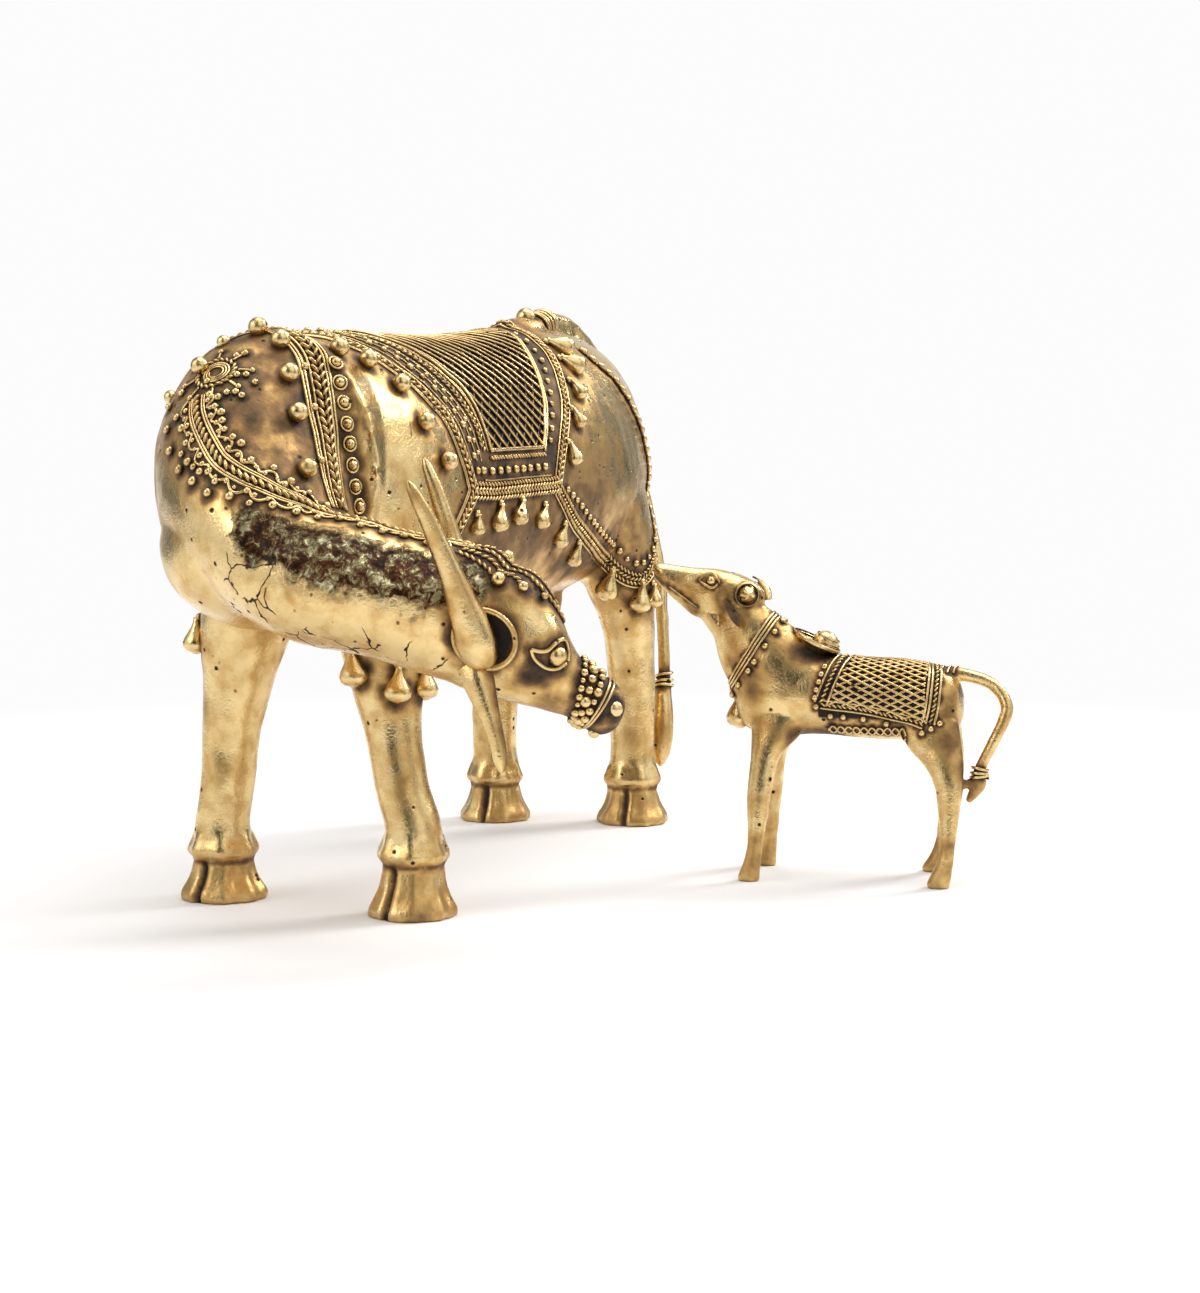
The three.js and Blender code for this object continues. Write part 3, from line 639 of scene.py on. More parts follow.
def turned_shape(name, profile, steps, low=-9.0, high=-8.0):
    """A round body spun about the x axis from rows of [x, radius], all bright unless the marks say other."""
    mesh = bpy.data.meshes.new(name)
    rows = [(x, 0, r) for x, r in profile]
    mesh.from_pydata(rows, [(k, k + 1) for k in range(len(rows) - 1)], [])
    piece = bpy.data.objects.new(name, mesh)
    bpy.context.scene.collection.objects.link(piece)
    edit(piece)
    bpy.ops.mesh.select_all(action="SELECT")
    bpy.ops.mesh.spin(steps=steps, angle=2 * math.pi, center=(0, 0, 0), axis=(1, 0, 0))
    close_edit()
    return taken(piece, low, high)


def ringed_disc_shape():
    """A dome inside a ring of thread, about 5 mm across."""
    bpy.ops.mesh.primitive_torus_add(
        major_segments=18, minor_segments=6, major_radius=2.25, minor_radius=0.4, location=(0, 0, 0.3),
    )
    ring = bpy.context.object
    bpy.ops.mesh.primitive_uv_sphere_add(segments=14, ring_count=10, radius=1.6, location=(0, 0, 0.45))
    dome = bpy.context.object
    edit(dome)
    bpy.ops.mesh.bisect(plane_co=(0, 0, -0.4), plane_no=(0, 0, 1), clear_inner=True, use_fill=True)
    close_edit()
    bpy.ops.object.select_all(action="DESELECT")
    ring.select_set(True)
    dome.select_set(True)
    bpy.context.view_layer.objects.active = ring
    bpy.ops.object.join()
    bpy.ops.object.transform_apply(location=True, rotation=True, scale=True)
    return taken(ring, -0.2, 0.5)


# Each small shape carries patina and painted shade by height: full where it meets the skin, none over its
# top.
GRANULE = grain_shape((1, 1, 0.95), -0.45, -0.3, 0.55)
# A grain drawn out along its row, as the links of a chain, and a strand of a rope.
LINK = grain_shape((1.45, 0.9, 0.9), -0.6, -0.4, 0.5)
STRAND = grain_shape((1.62, 0.52, 0.88), -0.6, -0.4, 0.8)
BALL = ball_shape()
DISC = ringed_disc_shape()
# A bell has a thin stalk, swells to its round lower end, and has a small tip. One long, hung along +x, with
# patina and painted shade on its side toward the skin.
BELL = turned_shape("bell", [
    [0, 0.001], [0.02, 0.09], [0.12, 0.09], [0.28, 0.15], [0.42, 0.23], [0.55, 0.31], [0.68, 0.36],
    [0.8, 0.345], [0.89, 0.27], [0.94, 0.15], [0.98, 0.09], [1, 0.001],
], 18, -0.34, -0.06)


def stamped(shape, points, along, out, size):
    """Copies of a shape set on the skin, each its own points."""
    shape_points, shape_faces, shape_patina_and_shade = shape
    along, out = unit(np.atleast_2d(along)), unit(np.atleast_2d(out))
    across = unit(np.cross(out, along))
    along = np.cross(across, out)
    size = np.broadcast_to(np.reshape(size, (-1, 1, 1)), (len(along), 1, 1))
    axes = np.stack([along, across, out], 1)
    copies = np.atleast_2d(points)[:, None] + (shape_points @ axes) * size
    count = len(shape_points)
    faces = [tuple(k + n * count for k in face) for n in range(len(copies)) for face in shape_faces]
    return copies.reshape(-1, 3), faces, np.tile(shape_patina_and_shade, len(copies))


def grains(run, radius, spacing, start=None, lift=0.3, shape=None, jitter=0.0):
    """A row of grains along a run, their sizes uneven by the jitter."""
    pick = run.spots(spacing, spacing / 2 if start is None else start)
    out = run.out[pick]
    size = radius * (1 + jitter * np.sin(np.arange(len(pick)) * 2.4))
    return stamped(shape or GRANULE, run.points[pick] + out * radius * lift, run.along[pick], out, size)


def grain(hit, radius, lift=0.3, shape=None):
    """One grain, or another small shape, at a place found on the skin."""
    point, out = hit
    return stamped(shape or GRANULE, point + out * radius * lift, np.cross(out, (0.3, 0.2, 0.9)), out, radius)


LONGEST_BELL = 14


def hung_bell(root, tip):
    """A bell from its root on the skin toward its tip, with a grain at its root."""
    top = root[0] + root[1] * 1.5
    drop = tip[0] + tip[1] * 3.2 - top
    length = min(np.linalg.norm(drop), LONGEST_BELL)
    return [stamped(BELL, top, drop, root[1] + tip[1], length), grain(root, 1.5)]


# THE COW'S TRAPPINGS. On a flank, side 1 is her left and -1 her right, and `ahead` moves a run toward
# her head. The tables hold the length along her body and the degrees round it, as on_body takes them.
STRAP = [
    [-27, 0], [-28.5, 9], [-30, 17.4], [-31.2, 25], [-33.5, 33], [-35.4, 41], [-37, 52], [-37.8, 64],
    [-39.2, 76], [-40.7, 89], [-42, 100], [-42.6, 108],
]
STRAP_DISCS = [
    [-26.8, 33], [-27.6, 38], [-28.4, 43.3], [-29.1, 49.5], [-29.8, 57.3], [-29.9, 66], [-29.8, 74.8],
    [-29.5, 84.3], [-29.2, 94.4], [-28.3, 103], [-27.2, 110.4],
]
# Balls along the strap; those at angles below -1 lie on her right.
STRAP_BALLS = [
    [-34.6, -0.5], [-36.5, 11.7], [-43.3, 26.2], [-48.2, 48], [-55.1, 88], [-39.5, -14], [-46, -47],
    [-38, -86],
]
BLANKET_BALLS = [[-19.3, 25.6], [-6.6, 31.4], [2.2, 44.7], [7, 63], [15.8, 81.4]]
BALL_RADIUS = 3.3
FRONT_BORDER = [
    [-14, 0], [-9, 9], [-3.8, 17.6], [1.5, 23], [8.2, 35], [14, 41.4], [19, 49.3], [24.6, 56], [27.1, 63.3],
    [28.9, 73], [31.4, 81], [33.7, 89], [35.3, 94], [32.5, 99.7], [28.8, 106.6], [25.6, 112.2],
]
REAR_BORDER = [
    [147, 0], [145, 10], [142.5, 20], [141, 27], [137, 35.3], [131.8, 45], [127.5, 54], [121.8, 62.7],
    [115, 72.7], [109, 83.8], [105.6, 94],
]
# The net of threads: its front and rear edges, its low edge, and the grains behind it.
NET_FRONT = [[22, 0], [27, 10], [35, 20], [43.8, 35], [48, 42], [50.4, 53], [51, 62], [51, 74.7]]
NET_REAR = [
    [134, 0], [128.7, 15], [121.3, 27], [115.5, 38], [109.8, 50], [104.6, 59], [97.4, 71], [95, 75],
]
NET_LOW = 74.7
# How far a thread of the net drifts along the body on its way down, and how far apart the threads are.
NET_DRIFT, NET_PITCH = 56, 6.2
REAR_GRAINS = [
    [134, 9], [132, 20.3], [128.8, 29.3], [122.7, 39.2], [115.1, 51.9], [106.9, 65.4], [99.4, 77.1],
]
BREECHING = [
    [105.6, 95], [111, 101], [118, 108], [126, 114.5], [137, 121], [149, 127.5], [165, 135.5], [179, 141.5],
    [187, 142.5], [195, 141.5], [203, 138.5], [211, 134.5],
]
BREECHING_GRAINS = [
    [110.7, 95.9], [119.6, 101.9], [127.5, 107.1], [138.5, 114.6], [153.9, 123.1], [169, 130.4],
    [181.3, 135.6], [188.2, 137.9], [196, 137], [204, 134], [211, 130],
]
RUMP_CHAIN = [
    [174, 26], [180, 35], [187, 42.3], [192, 50.8], [196, 61], [201, 72.6], [207, 85], [213, 98], [217, 112],
    [216, 124], [212, 134],
]
# Each bell's root and tip.
BELLS = [
    [37.2, 104.6, 37.7, 114], [55.7, 100, 53.4, 112.7], [73.5, 99.2, 69.7, 110.7],
    [93.6, 103, 89.8, 113.6], [148.2, 19.9, 159.8, 27.4], [145.6, 29.9, 156.6, 37.7],
    [140.2, 42.4, 143.4, 53.2], [130.3, 56.9, 133, 68], [118.5, 74, 120, 86.6],
    [114.3, 114.4, 112.3, 125.2], [134.6, 126.3, 134.8, 137.4],
]
THIGH_BELLS = [[183, 111, 183.5, 100], [196.6, 105, 197, 92], [205.5, 104, 205.6, 93]]


def columns(rows):
    """Angles and lengths of a table of [x, angle], for np.interp."""
    table = np.array(rows, float)
    return table[:, 1], table[:, 0]


def zone_rows(share, last=74):
    """A line on the blanket between its front border (share 0) and the front edge of its net (share 1)."""
    angles = np.linspace(0, last, 10)
    border = np.interp(angles, *columns(FRONT_BORDER[:13]))
    edge = np.interp(angles, *columns(NET_FRONT))
    return [[x + (far - x) * share, a] for x, far, a in zip(border, edge, angles)]


def net(side):
    """Two families of slanting threads between the edges of the net; those down to the rear lie on top."""
    work = []
    angles = np.linspace(0, NET_LOW, 70)
    front = np.interp(angles, *columns(NET_FRONT))
    rear = np.interp(angles, *columns(NET_REAR))
    # The threads that run under the others are thinner, lie flat, and carry painted shade.
    for drift, radius, lift, added_shade in ((NET_DRIFT, 0.6, 1.0, 0.0), (-NET_DRIFT, 0.42, 0.0, 0.5)):
        for start in np.arange(NET_FRONT[0][0] - NET_DRIFT, NET_REAR[0][0] + NET_DRIFT, NET_PITCH):
            line = start + drift * angles / NET_LOW
            inside = (line > front) & (line < rear)
            if inside.sum() > 4:
                rows = [[x, a * side] for x, a in zip(line[inside], angles[inside])]
                work.append(wire(lay(cow_skin, on_body, rows, 2), radius, lift, 3, added_shade))
    return work


def dress_flank(side):
    """The trappings of her left (1) or right (-1) flank; the right one, which the photo hides, is plainer."""
    left = side > 0

    def run(rows, fine=12):
        return lay(cow_skin, on_body, [[x, a * side] for x, a in rows], fine)

    def ahead(line, shift):
        return line.beside(shift * side)

    def level(x_first, x_last, angle):
        return run([[x, angle] for x in np.linspace(x_first, x_last, 7)])

    # Her strap and the blanket's two borders, braids between plain threads.
    strap, border, back, chain = run(STRAP), run(FRONT_BORDER), run(REAR_BORDER), run(BREECHING)
    work = braid(strap, 1.3, 3.1) + braid(border, 1.05, 2.6) + braid(back, 1.05, 2.7)
    work += [wire(ahead(strap, shift), 0.55) for shift in (6.1, 4.9, 2.9, -2.9, -4.1)]
    work += [wire(ahead(border, shift), 0.48) for shift in (2.7, 3.7, -2.7)]
    work += [wire(ahead(back, shift), 0.48) for shift in (2.8, -2.8)]
    # Threads along the front of the blanket, then the net in its frame.
    work += [wire(run(zone_rows(share, 80)), 0.42) for share in (0.22, 0.42, 0.6)]
    work += braid(run(zone_rows(0.76)), 0.85, 2.2)
    work.append(wire(run(zone_rows(0.9)), 0.5))
    work += net(side)
    edge, rear, low = run(NET_FRONT), run(NET_REAR), level(51, 95, NET_LOW)
    work += [wire(line, 0.85, 0.7) for line in (edge, low, rear)]
    work += [wire(ahead(edge, 1.9), 0.45), wire(ahead(rear, -2), 0.6)]
    # Below the net: a rope, a thread and two braids; the thread, sunk between them, carries painted shade.
    work += rope(level(50, 96, 78.4), 0.95, 2.2)
    work.append(wire(level(44, 100, 89.2), 0.45, added_shade=0.3))
    for angle in (92.2, 96.4):
        work += braid(level(35.4, 106.5, angle), 0.95, 2.5)
    # The breeching of three ropes round her thigh, and the chain over her rump.
    for shift, hand in ((-1.3, 1), (0.6, -1), (2.5, 1)):
        work += rope(ahead(chain, shift), 0.9, 2.2, hand)
    work.append(wire(ahead(chain, 4.1), 0.5))
    rump = run(RUMP_CHAIN)
    # The thread under the links of the chain carries painted shade.
    work.append(wire(rump, 0.7, 0.2, added_shade=0.3))
    work.append(grains(rump, 1.6, 4.9, 1.0, 0.45, LINK))
    small = [
        grains(run(zone_rows(0.33, 88)), 1.35, 5.6, jitter=0.12),
        grains(run(zone_rows(0.51, 80)), 0.95, 4.2, jitter=0.15),
        grains(level(42.4, 96.2, 84.6), 1.6, 6.4 if left else 5, 0.3),
        grains(run(REAR_GRAINS), 1.35, 6.2, jitter=0.1),
        grains(run(BREECHING_GRAINS), 1.35, 5.4, jitter=0.14),
    ]
    if left:
        small.append(grains(run(STRAP_DISCS), 1.05, 6.9, 0.0, 0.1, DISC))
        small += [grain(on_body(*row), BALL_RADIUS, 0.62, BALL) for row in BLANKET_BALLS]
        small += [grain(on_body(*row), 1.5) for row in ((-36.4, 27.2), (-40, 47.3), (-45.5, 81.4), (-41, 99))]
        for x, angle, tip_x, tip_angle in BELLS:
            small += hung_bell(on_body(x, angle), on_body(tip_x, tip_angle))
        for x, z, tip_x, tip_z in THIGH_BELLS:
            small += hung_bell(on_flank(x, z, 1), on_flank(tip_x, tip_z, 1))
    else:
        small.append(grains(ahead(strap, -7.2), 1.5, 6.9))
        small += [grain(on_body(x, -a), 2.4, 0.5, BALL) for x, a in BLANKET_BALLS]
    for x, angle in STRAP_BALLS:
        if (angle >= -1) == left:
            small.append(grain(on_body(x, angle), BALL_RADIUS if left else 2.3, 0.62 if left else 0.3, BALL))
    return work + small


# The corded band along the top of her neck, by station and degrees round the neck.
CREST = [
    [2.68, 125], [2.84, 130], [3.01, 133], [3.17, 135], [3.33, 136], [3.52, 131], [3.7, 123], [3.88, 113],
    [4.07, 98], [4.5, 89], [5.08, 88], [5.57, 90], [6.18, 88], [6.9, 86],
]
SUN, SUN_BALL = (2.57, 112), (2.38, 117)
SUN_GRAINS = [
    (2.43, 97), (2.44, 101), (2.75, 103), (2.78, 99), (2.9, 96), (2.9, 111), (3.02, 105), (2.95, 107),
]
# Grains that stand away from the band: station, degrees, radius.
CREST_GRAINS = [
    (2.94, 160, 1.7), (3.16, 159, 1.6), (3.34, 157, 1.5), (2.9, 152, 1.2), (3.12, 152, 1.2), (3.28, 147, 1.2),
    (2.62, 117, 1.3), (2.8, 119, 1.4), (2.96, 120, 1.3), (3.12, 121, 1.4), (3.28, 121, 1.3), (2.4, 131, 1.3),
    (2.3, 141, 1.4), (2.5, 149, 1.5), (2.7, 156, 1.6),
]


def crest():
    """A rope along the top of her neck, with loops and grains down both sides of it."""
    line = lay(cow_skin, on_neck, CREST, 14)
    work = rope(line, 1.3, 2.6)
    work += [wire(line.beside(shift), 0.45) for shift in (1.9, 2.8, -1.9, -2.8)]
    small = [grain(on_neck(station, turn), size) for station, turn, size in CREST_GRAINS]
    loop = 7.2
    for side in (1, -1):
        # Loops of uneven height, with a grain in each and one on its crown.
        wave = np.abs(np.sin(np.pi * line.way / loop))
        uneven = 1 + 0.18 * np.sin(line.way * 0.31 + side)
        work.append(wire(line.beside(side * (3.3 + 2.9 * wave * uneven), 2), 0.55, 0.5, 1))
        small.append(grains(line.beside(side * 4.3), 1.05, loop, loop / 2, jitter=0.15))
        small.append(grains(line.beside(side * (7.3 * uneven)), 1.4, loop, loop / 2, jitter=0.14))
        small.append(grains(line.beside(side * 4.9), 0.9, loop, loop, jitter=0.2))
    return work + small


def sun():
    """A ball on a coil of thread, ringed with rope, with grains on short stems round it."""
    centre, out = on_neck(*SUN)
    first = unit(np.cross(out, (0, 0, 1)))
    second = np.cross(out, first)

    def at(turn, radius):
        way = first * math.cos(turn) + second * math.sin(turn)
        return cow_skin.hit(centre + way * radius - out * 6, out, 16)

    def round_run(turns, radii, count=90):
        hits = [at(t, r) for t, r in zip(np.linspace(*turns, count), np.linspace(*radii, count))]
        return run_through(cow_skin, hits, 3)

    parts = rope(round_run((0, 2 * math.pi), (6.4, 6.4)), 0.95, 2.1)
    parts.append(wire(round_run((0, 6 * math.pi), (2.2, 5), 200), 0.45, 0.5, 1))
    parts.append(grain(on_neck(*SUN_BALL), 2.9, 0.7, BALL))
    parts += [grain(on_neck(*spot), 1.25) for spot in SUN_GRAINS]
    for turn in np.arange(8) * math.pi / 4 + 0.3:
        stem = run_through(cow_skin, [at(turn, radius) for radius in (7.4, 8.6, 9.8, 11)], 0)
        parts.append(wire(stem, 0.5, 0.5, 1))
        parts.append(grain(at(turn, 11.6), 1.1))
    return parts


def wound(rows, up, first, last, turns, radius, grow=0.5):
    """A thread wound round a limb between two of its stations."""
    count = int(24 * turns) + 1
    u = np.linspace(first, last, count)
    here = between(rows, u)
    along = unit(between(rows, np.minimum(u + 0.2, len(rows) - 1))[:, :3] - between(rows, u - 0.2)[:, :3])
    across = unit(np.cross(np.asarray(up, float), along))
    upward = np.cross(along, across)
    turn = 2 * np.pi * turns * np.linspace(0, 1, count)
    ring = across * ((here[:, 3] + grow) * np.cos(turn))[:, None]
    ring = ring + upward * ((here[:, 4] + grow) * np.sin(turn))[:, None]
    centres = here[:, :3] + ring
    side = unit(np.cross(unit(np.gradient(centres, axis=0)), unit(ring)))
    return tube(centres, side, unit(ring), radius)


def tail_work():
    """The cuff wound round the root of her tail, the ball above it, and the binding of its tassel."""
    ball = (np.array([168.4, 0, 213.6]), np.array([0, 0, 1.0]))
    return [
        wound(TAIL, LEFT, 2.5, 4.9, 6, 0.95), wound(TAIL, LEFT, 14.9, 15.5, 3, 0.7),
        grain(ball, 4.1, 0.2, BALL),
    ]


# Bells on her forelegs, each with a point near its root and one near its tip.
LEG_BELLS = [
    ((-13.8, -22.7, 92), (-16, -24, 78)), ((-9.4, -36.3, 86), (-12, -38.4, 73)),
    ((2.1, -39.3, 86), (1.6, -40.6, 73)), ((-9, 42.5, 100), (-10.5, 45, 87)),
]


def leg_bells():
    """Each bell is found from the middle of its leg, outward at its own height."""
    parts = []
    for root, tip in LEG_BELLS:
        hits = []
        for spot in (root, tip):
            middle = np.array([0.5, 30 if root[1] > 0 else -26, spot[2]])
            hits.append(cow_skin.hit(middle, np.array(spot) - middle, 40))
        parts += hung_bell(*hits)
    return parts


def free_thread(points, to_world, radius, taper=True):
    """A thread through points in the axes of her head or of the calf, thin at both ends when tapered."""
    centres = to_world(between(points, np.linspace(0, len(points) - 1, 8 * len(points))))
    along = unit(np.gradient(centres, axis=0))
    left = unit(to_world([[0, 1, 0]]) - to_world([[0, 0, 0]]))
    out = unit(np.cross(along, np.cross(left, along)))
    size = radius * (1 - 0.7 * np.abs(np.linspace(-1, 1, len(centres))) ** 3) if taper else radius
    points, faces, _ = tube(centres, unit(np.cross(along, out)), out, size, 8)
    return points, faces, np.full(len(points), 0.15)


def leaf(stations, to_world, wide, fold, thick):
    """An ear: a folded leaf through stations [x, y, z, half width], with painted shade rising to one side of
    its ridge and over its inner face.
    """
    rows = between(stations, np.linspace(0, len(stations) - 1, 6 * len(stations)))
    centres, half = rows[:, :3], rows[:, 3, None]
    along = unit(np.gradient(centres, axis=0))
    wide = unit(np.asarray(wide, float) - along * (along @ np.asarray(wide, float))[:, None])
    deep = np.cross(along, wide)
    share = np.linspace(-1, 1, 11)
    rise = fold * half * (1 - share ** 2)
    back = centres[:, None] + wide[:, None] * (half * share)[..., None] + deep[:, None] * rise[..., None]
    inner = back - deep[:, None] * (thick * (1.05 - share ** 2))[:, None]
    points, faces = skin_rings(np.concatenate([back, inner[:, ::-1]], 1))
    # Painted shade: none on one half of the outer face, rising toward the other edge, and over the inner
    # face.
    ridge = np.concatenate([np.clip(0.5 * share, 0, 1) + 0.05, np.full(11, 0.6)])
    return to_world(points), faces, np.append(np.tile(ridge, len(rows)), [0.2, 0.2])


def horn(side, reach, rise):
    """A horn of the table, drawn out backward by `reach` and then upward by `rise`."""
    rows = [[x * reach, side * y, z * reach * rise, w, h] for x, y, z, w, h in HORN]
    points, faces = limb(rows, 28, 7, (0, side, 0))
    darkening = 0.06 + 0.3 * np.clip(rough(points, 7, 2.0), 0, 1)
    return in_head(points), faces, darkening


def head_run(rows, fine=12):
    return lay(cow_skin, on_head, rows, fine, 3)


def mirrored(rows):
    """The same line on the other side of her head."""
    return [[forward, 180 - angle] for forward, angle in rows]


# Ropes down her forehead, by length along the muzzle and degrees round it.
FOREHEAD_ROPES = [
    [[-21, 74], [-14, 78], [-8, 80], [-2, 85], [4, 90], [9, 92], [14, 92], [18, 91]],
    [[-21, 82], [-14, 86], [-8, 90], [-2, 98], [4, 106], [9, 107], [14, 102], [18, 96]],
    [[-21, 90], [-15, 94], [-9, 99], [-4, 106], [-0.6, 115]],
    [[-22, 98], [-17, 102], [-12.6, 107], [-8.8, 112]],
]
FOREHEAD_GRAINS = [(0.5, 119, 1.7), (-6.3, 115, 2.4), (7.6, 114, 1.3), (3.4, 60, 1.6), (-6, 62, 2.3)]
UPPER_LID = [[12.3, 168], [15, 163], [17.1, 155], [18, 142], [20.5, 128], [23.5, 128], [25, 140]]
LOWER_LID = [[12.3, 168], [14.5, 173], [17.5, 174], [20.5, 171], [23.3, 161], [25, 144]]
COW_EAR = [
    [0.6, 14, -9.6, 5.2], [4, 17, -12.4, 5], [9, 19.5, -16.5, 3.9], [14, 21.6, -20.5, 2.9],
    [19, 23.2, -25, 2.4], [22.5, 24.2, -29, 2.1], [24.6, 24.6, -31.6, 0.6],
]


def side_of_face(side):
    """An eye and its lids, the cup at the foot of a horn, an ear, and a nostril."""
    eye = in_head([[20.9, side * 11.4, 6.4]])[0]
    out = HEAD_PLACE[:3, :3] @ unit(np.array([0.15, side, 0.3]))
    parts = [grain((eye, out), 3.3, 0.05, BALL)]
    for rows, radius in ((UPPER_LID, 0.75), (LOWER_LID, 0.65)):
        parts.append(wire(head_run(mirrored(rows) if side > 0 else rows), radius, 0.5, 1))
    # The rim of the cup, whose lower end becomes the ear.
    turns = np.linspace(0, 2 * np.pi, 33)
    cup = [[9.7 * np.cos(t) - 1.5, side * (16 + 1.6 * np.cos(t)), 8.7 * np.sin(t) - 0.7] for t in turns]
    parts.append(free_thread(cup, in_head, 0.95, taper=False))
    rows = [[x, side * y, z, w] for x, y, z, w in COW_EAR]
    parts.append(leaf(rows, in_head, (-0.8 * side, 0, -0.6 * side), 0.6, 0.9))
    nostril = in_head([[46.8, side * 6.2, 1.4]])[0]
    parts.append(grain((nostril, HEAD_PLACE[:3, :3] @ unit(np.array([0.7, side, 0.1]))), 2.7, 0, BALL))
    return parts


def nose_band():
    """Grains packed between threads; the band's rear edge lies further back on top of the nose."""
    angles = np.linspace(36, 324, 17)
    rear = 33.9 - 4 * np.sin(np.radians(angles))

    def across_nose(share):
        return head_run(np.stack([rear + (43 - rear) * share, angles], 1), 10)

    parts = [wire(across_nose(share), 0.5) for share in (0.88, 1)]
    for share, radius, spacing, start in (
        (0.08, 1.2, 2.6, 0.5), (0.34, 1.6, 3.5, 1.4), (0.62, 1.35, 2.9, 0.2),
    ):
        parts.append(grains(across_nose(share), radius, spacing, start, 0.5, jitter=0.2))
    return parts


def head_work():
    """The ropes and grains of her forehead, both sides of her face, her lip, horns and nose band."""
    parts = []
    for k, rows in enumerate(FOREHEAD_ROPES):
        parts += rope(head_run(rows), 0.92, 2.2, 1 if k % 2 else -1)
    for forward, angle, radius in FOREHEAD_GRAINS:
        parts.append(grain(on_head(forward, angle), radius, 0.5, BALL if radius > 1.5 else None))
    parts += side_of_face(1) + side_of_face(-1)
    lip = in_head([[46.4, -2.3, -9]])[0]
    parts.append(grain((lip, -HEAD_PLACE[:3, 2]), 2, 0, BALL))
    return parts + [horn(1, 1.08, 1.27), horn(-1, 1.17, 1)] + nose_band()


# THE CALF'S TRAPPINGS
CALF_FRONT_STRAP = [
    [8.6, -94], [6.5, -72], [4, -45], [1.5, -15], [0.5, 0], [1.5, 15], [4, 45], [6.5, 72], [8.6, 94],
]
CALF_REAR_STRAP = [[-30.6, -119], [-32, -90], [-32.6, -45], [-32, 0], [-32.6, 45], [-32, 90], [-30.6, 119]]
# The net on its back ends this many degrees round on each side.
CALF_NET_END = 118
# How far a thread of the net drifts along the body from the back to its end, and how far apart they are.
CALF_NET_DRIFT, CALF_NET_PITCH = 62, 5.4
CALF_LOWER_BAND = [[8.6, 94], [-7.7, 101], [-16.8, 109], [-29, 120]]
CALF_GRAINS = [
    (7.7, 40), (8.7, 52), (9.4, 63), (10.1, 74), (10.6, 85), (10.2, 98), (5, 112), (0.3, 113), (-7, 115),
    (-15.3, 122), (-34.6, 119), (-31.6, 124), (-28.4, 128),
]


def calf_run(rows, fine=14):
    return lay(calf_skin, on_calf, rows, fine, 3)


def calf_net():
    """Diamonds drawn out along its body, between its two straps and over the back."""
    work = []
    front_angles, front_x = columns(CALF_FRONT_STRAP[4:])
    low_angles, low_x = columns(CALF_LOWER_BAND)
    angles = np.linspace(-CALF_NET_END, CALF_NET_END, 160)
    front = np.interp(np.abs(angles), front_angles, front_x) - 2.6
    front = np.minimum(front, np.interp(np.abs(angles), low_angles, low_x, left=60))
    # The threads that run under the others lie lower and carry a little painted shade.
    for drift, lift, added_shade in ((-CALF_NET_DRIFT, 0.9, 0.0), (CALF_NET_DRIFT, 0.35, 0.1)):
        for start in np.arange(-36 - CALF_NET_DRIFT, 14 + CALF_NET_DRIFT, CALF_NET_PITCH):
            line = start + drift * angles / CALF_NET_END
            inside = (line > -30) & (line < front)
            splits = np.flatnonzero(np.diff(inside.astype(int))) + 1
            for part in np.split(np.arange(len(angles)), splits):
                if len(part) > 4 and inside[part[0]]:
                    rows = np.stack([line[part], angles[part]], 1)
                    work.append(wire(lay(calf_skin, on_calf, rows, 3, 2), 0.52, lift, 2, added_shade))
    return work


def saucer():
    """A shallow dish on its back, tipped up in front, with a ringed dome toward its rear."""
    tip = math.radians(26)
    axis = CALF_PLACE[:3, :3] @ (-math.sin(tip), 0, math.cos(tip))
    first = CALF_PLACE[:3, :3] @ (math.cos(tip), 0, math.sin(tip))
    second = np.cross(axis, first)
    foot = in_calf([[13.1, 0, 85.6]])[0]
    dome_foot = foot + axis * 1.2 - first * 3.4
    dish = turned_shape("saucer", [
        [-2.6, 0.01], [-2.6, 5.4], [0.4, 7.2], [1.5, 8.7], [2.1, 9.4], [2.9, 9.6], [3.3, 9.2], [2.9, 8.3],
        [2, 6.8], [1.5, 4], [1.4, 0.01],
    ], 44)
    dome = turned_shape("saucer_dome", [
        [0, 0.01], [0, 5], [1.6, 4.7], [3.2, 4.9], [4.8, 4.3], [6, 3.1], [6.8, 1.5], [7, 0.01],
    ], 36)
    parts = [stamped(dish, foot, axis, first, 1.0), stamped(dome, dome_foot, axis, first, 1.0)]
    turns = np.linspace(0, 2 * np.pi, 48)[:, None]
    ring = first * np.cos(turns) + second * np.sin(turns)
    for centre, height, radius, thread in (
        (foot, 3, 9.2, 0.6), (foot, 2.5, 7.7, 0.45), (dome_foot, 1.2, 5, 0.5), (dome_foot, 3.2, 5, 0.45),
        (dome_foot, 4.9, 4.3, 0.4),
    ):
        parts.append(tube(centre + axis * height + ring * radius, np.tile(axis, (48, 1)), ring, thread))
    return parts


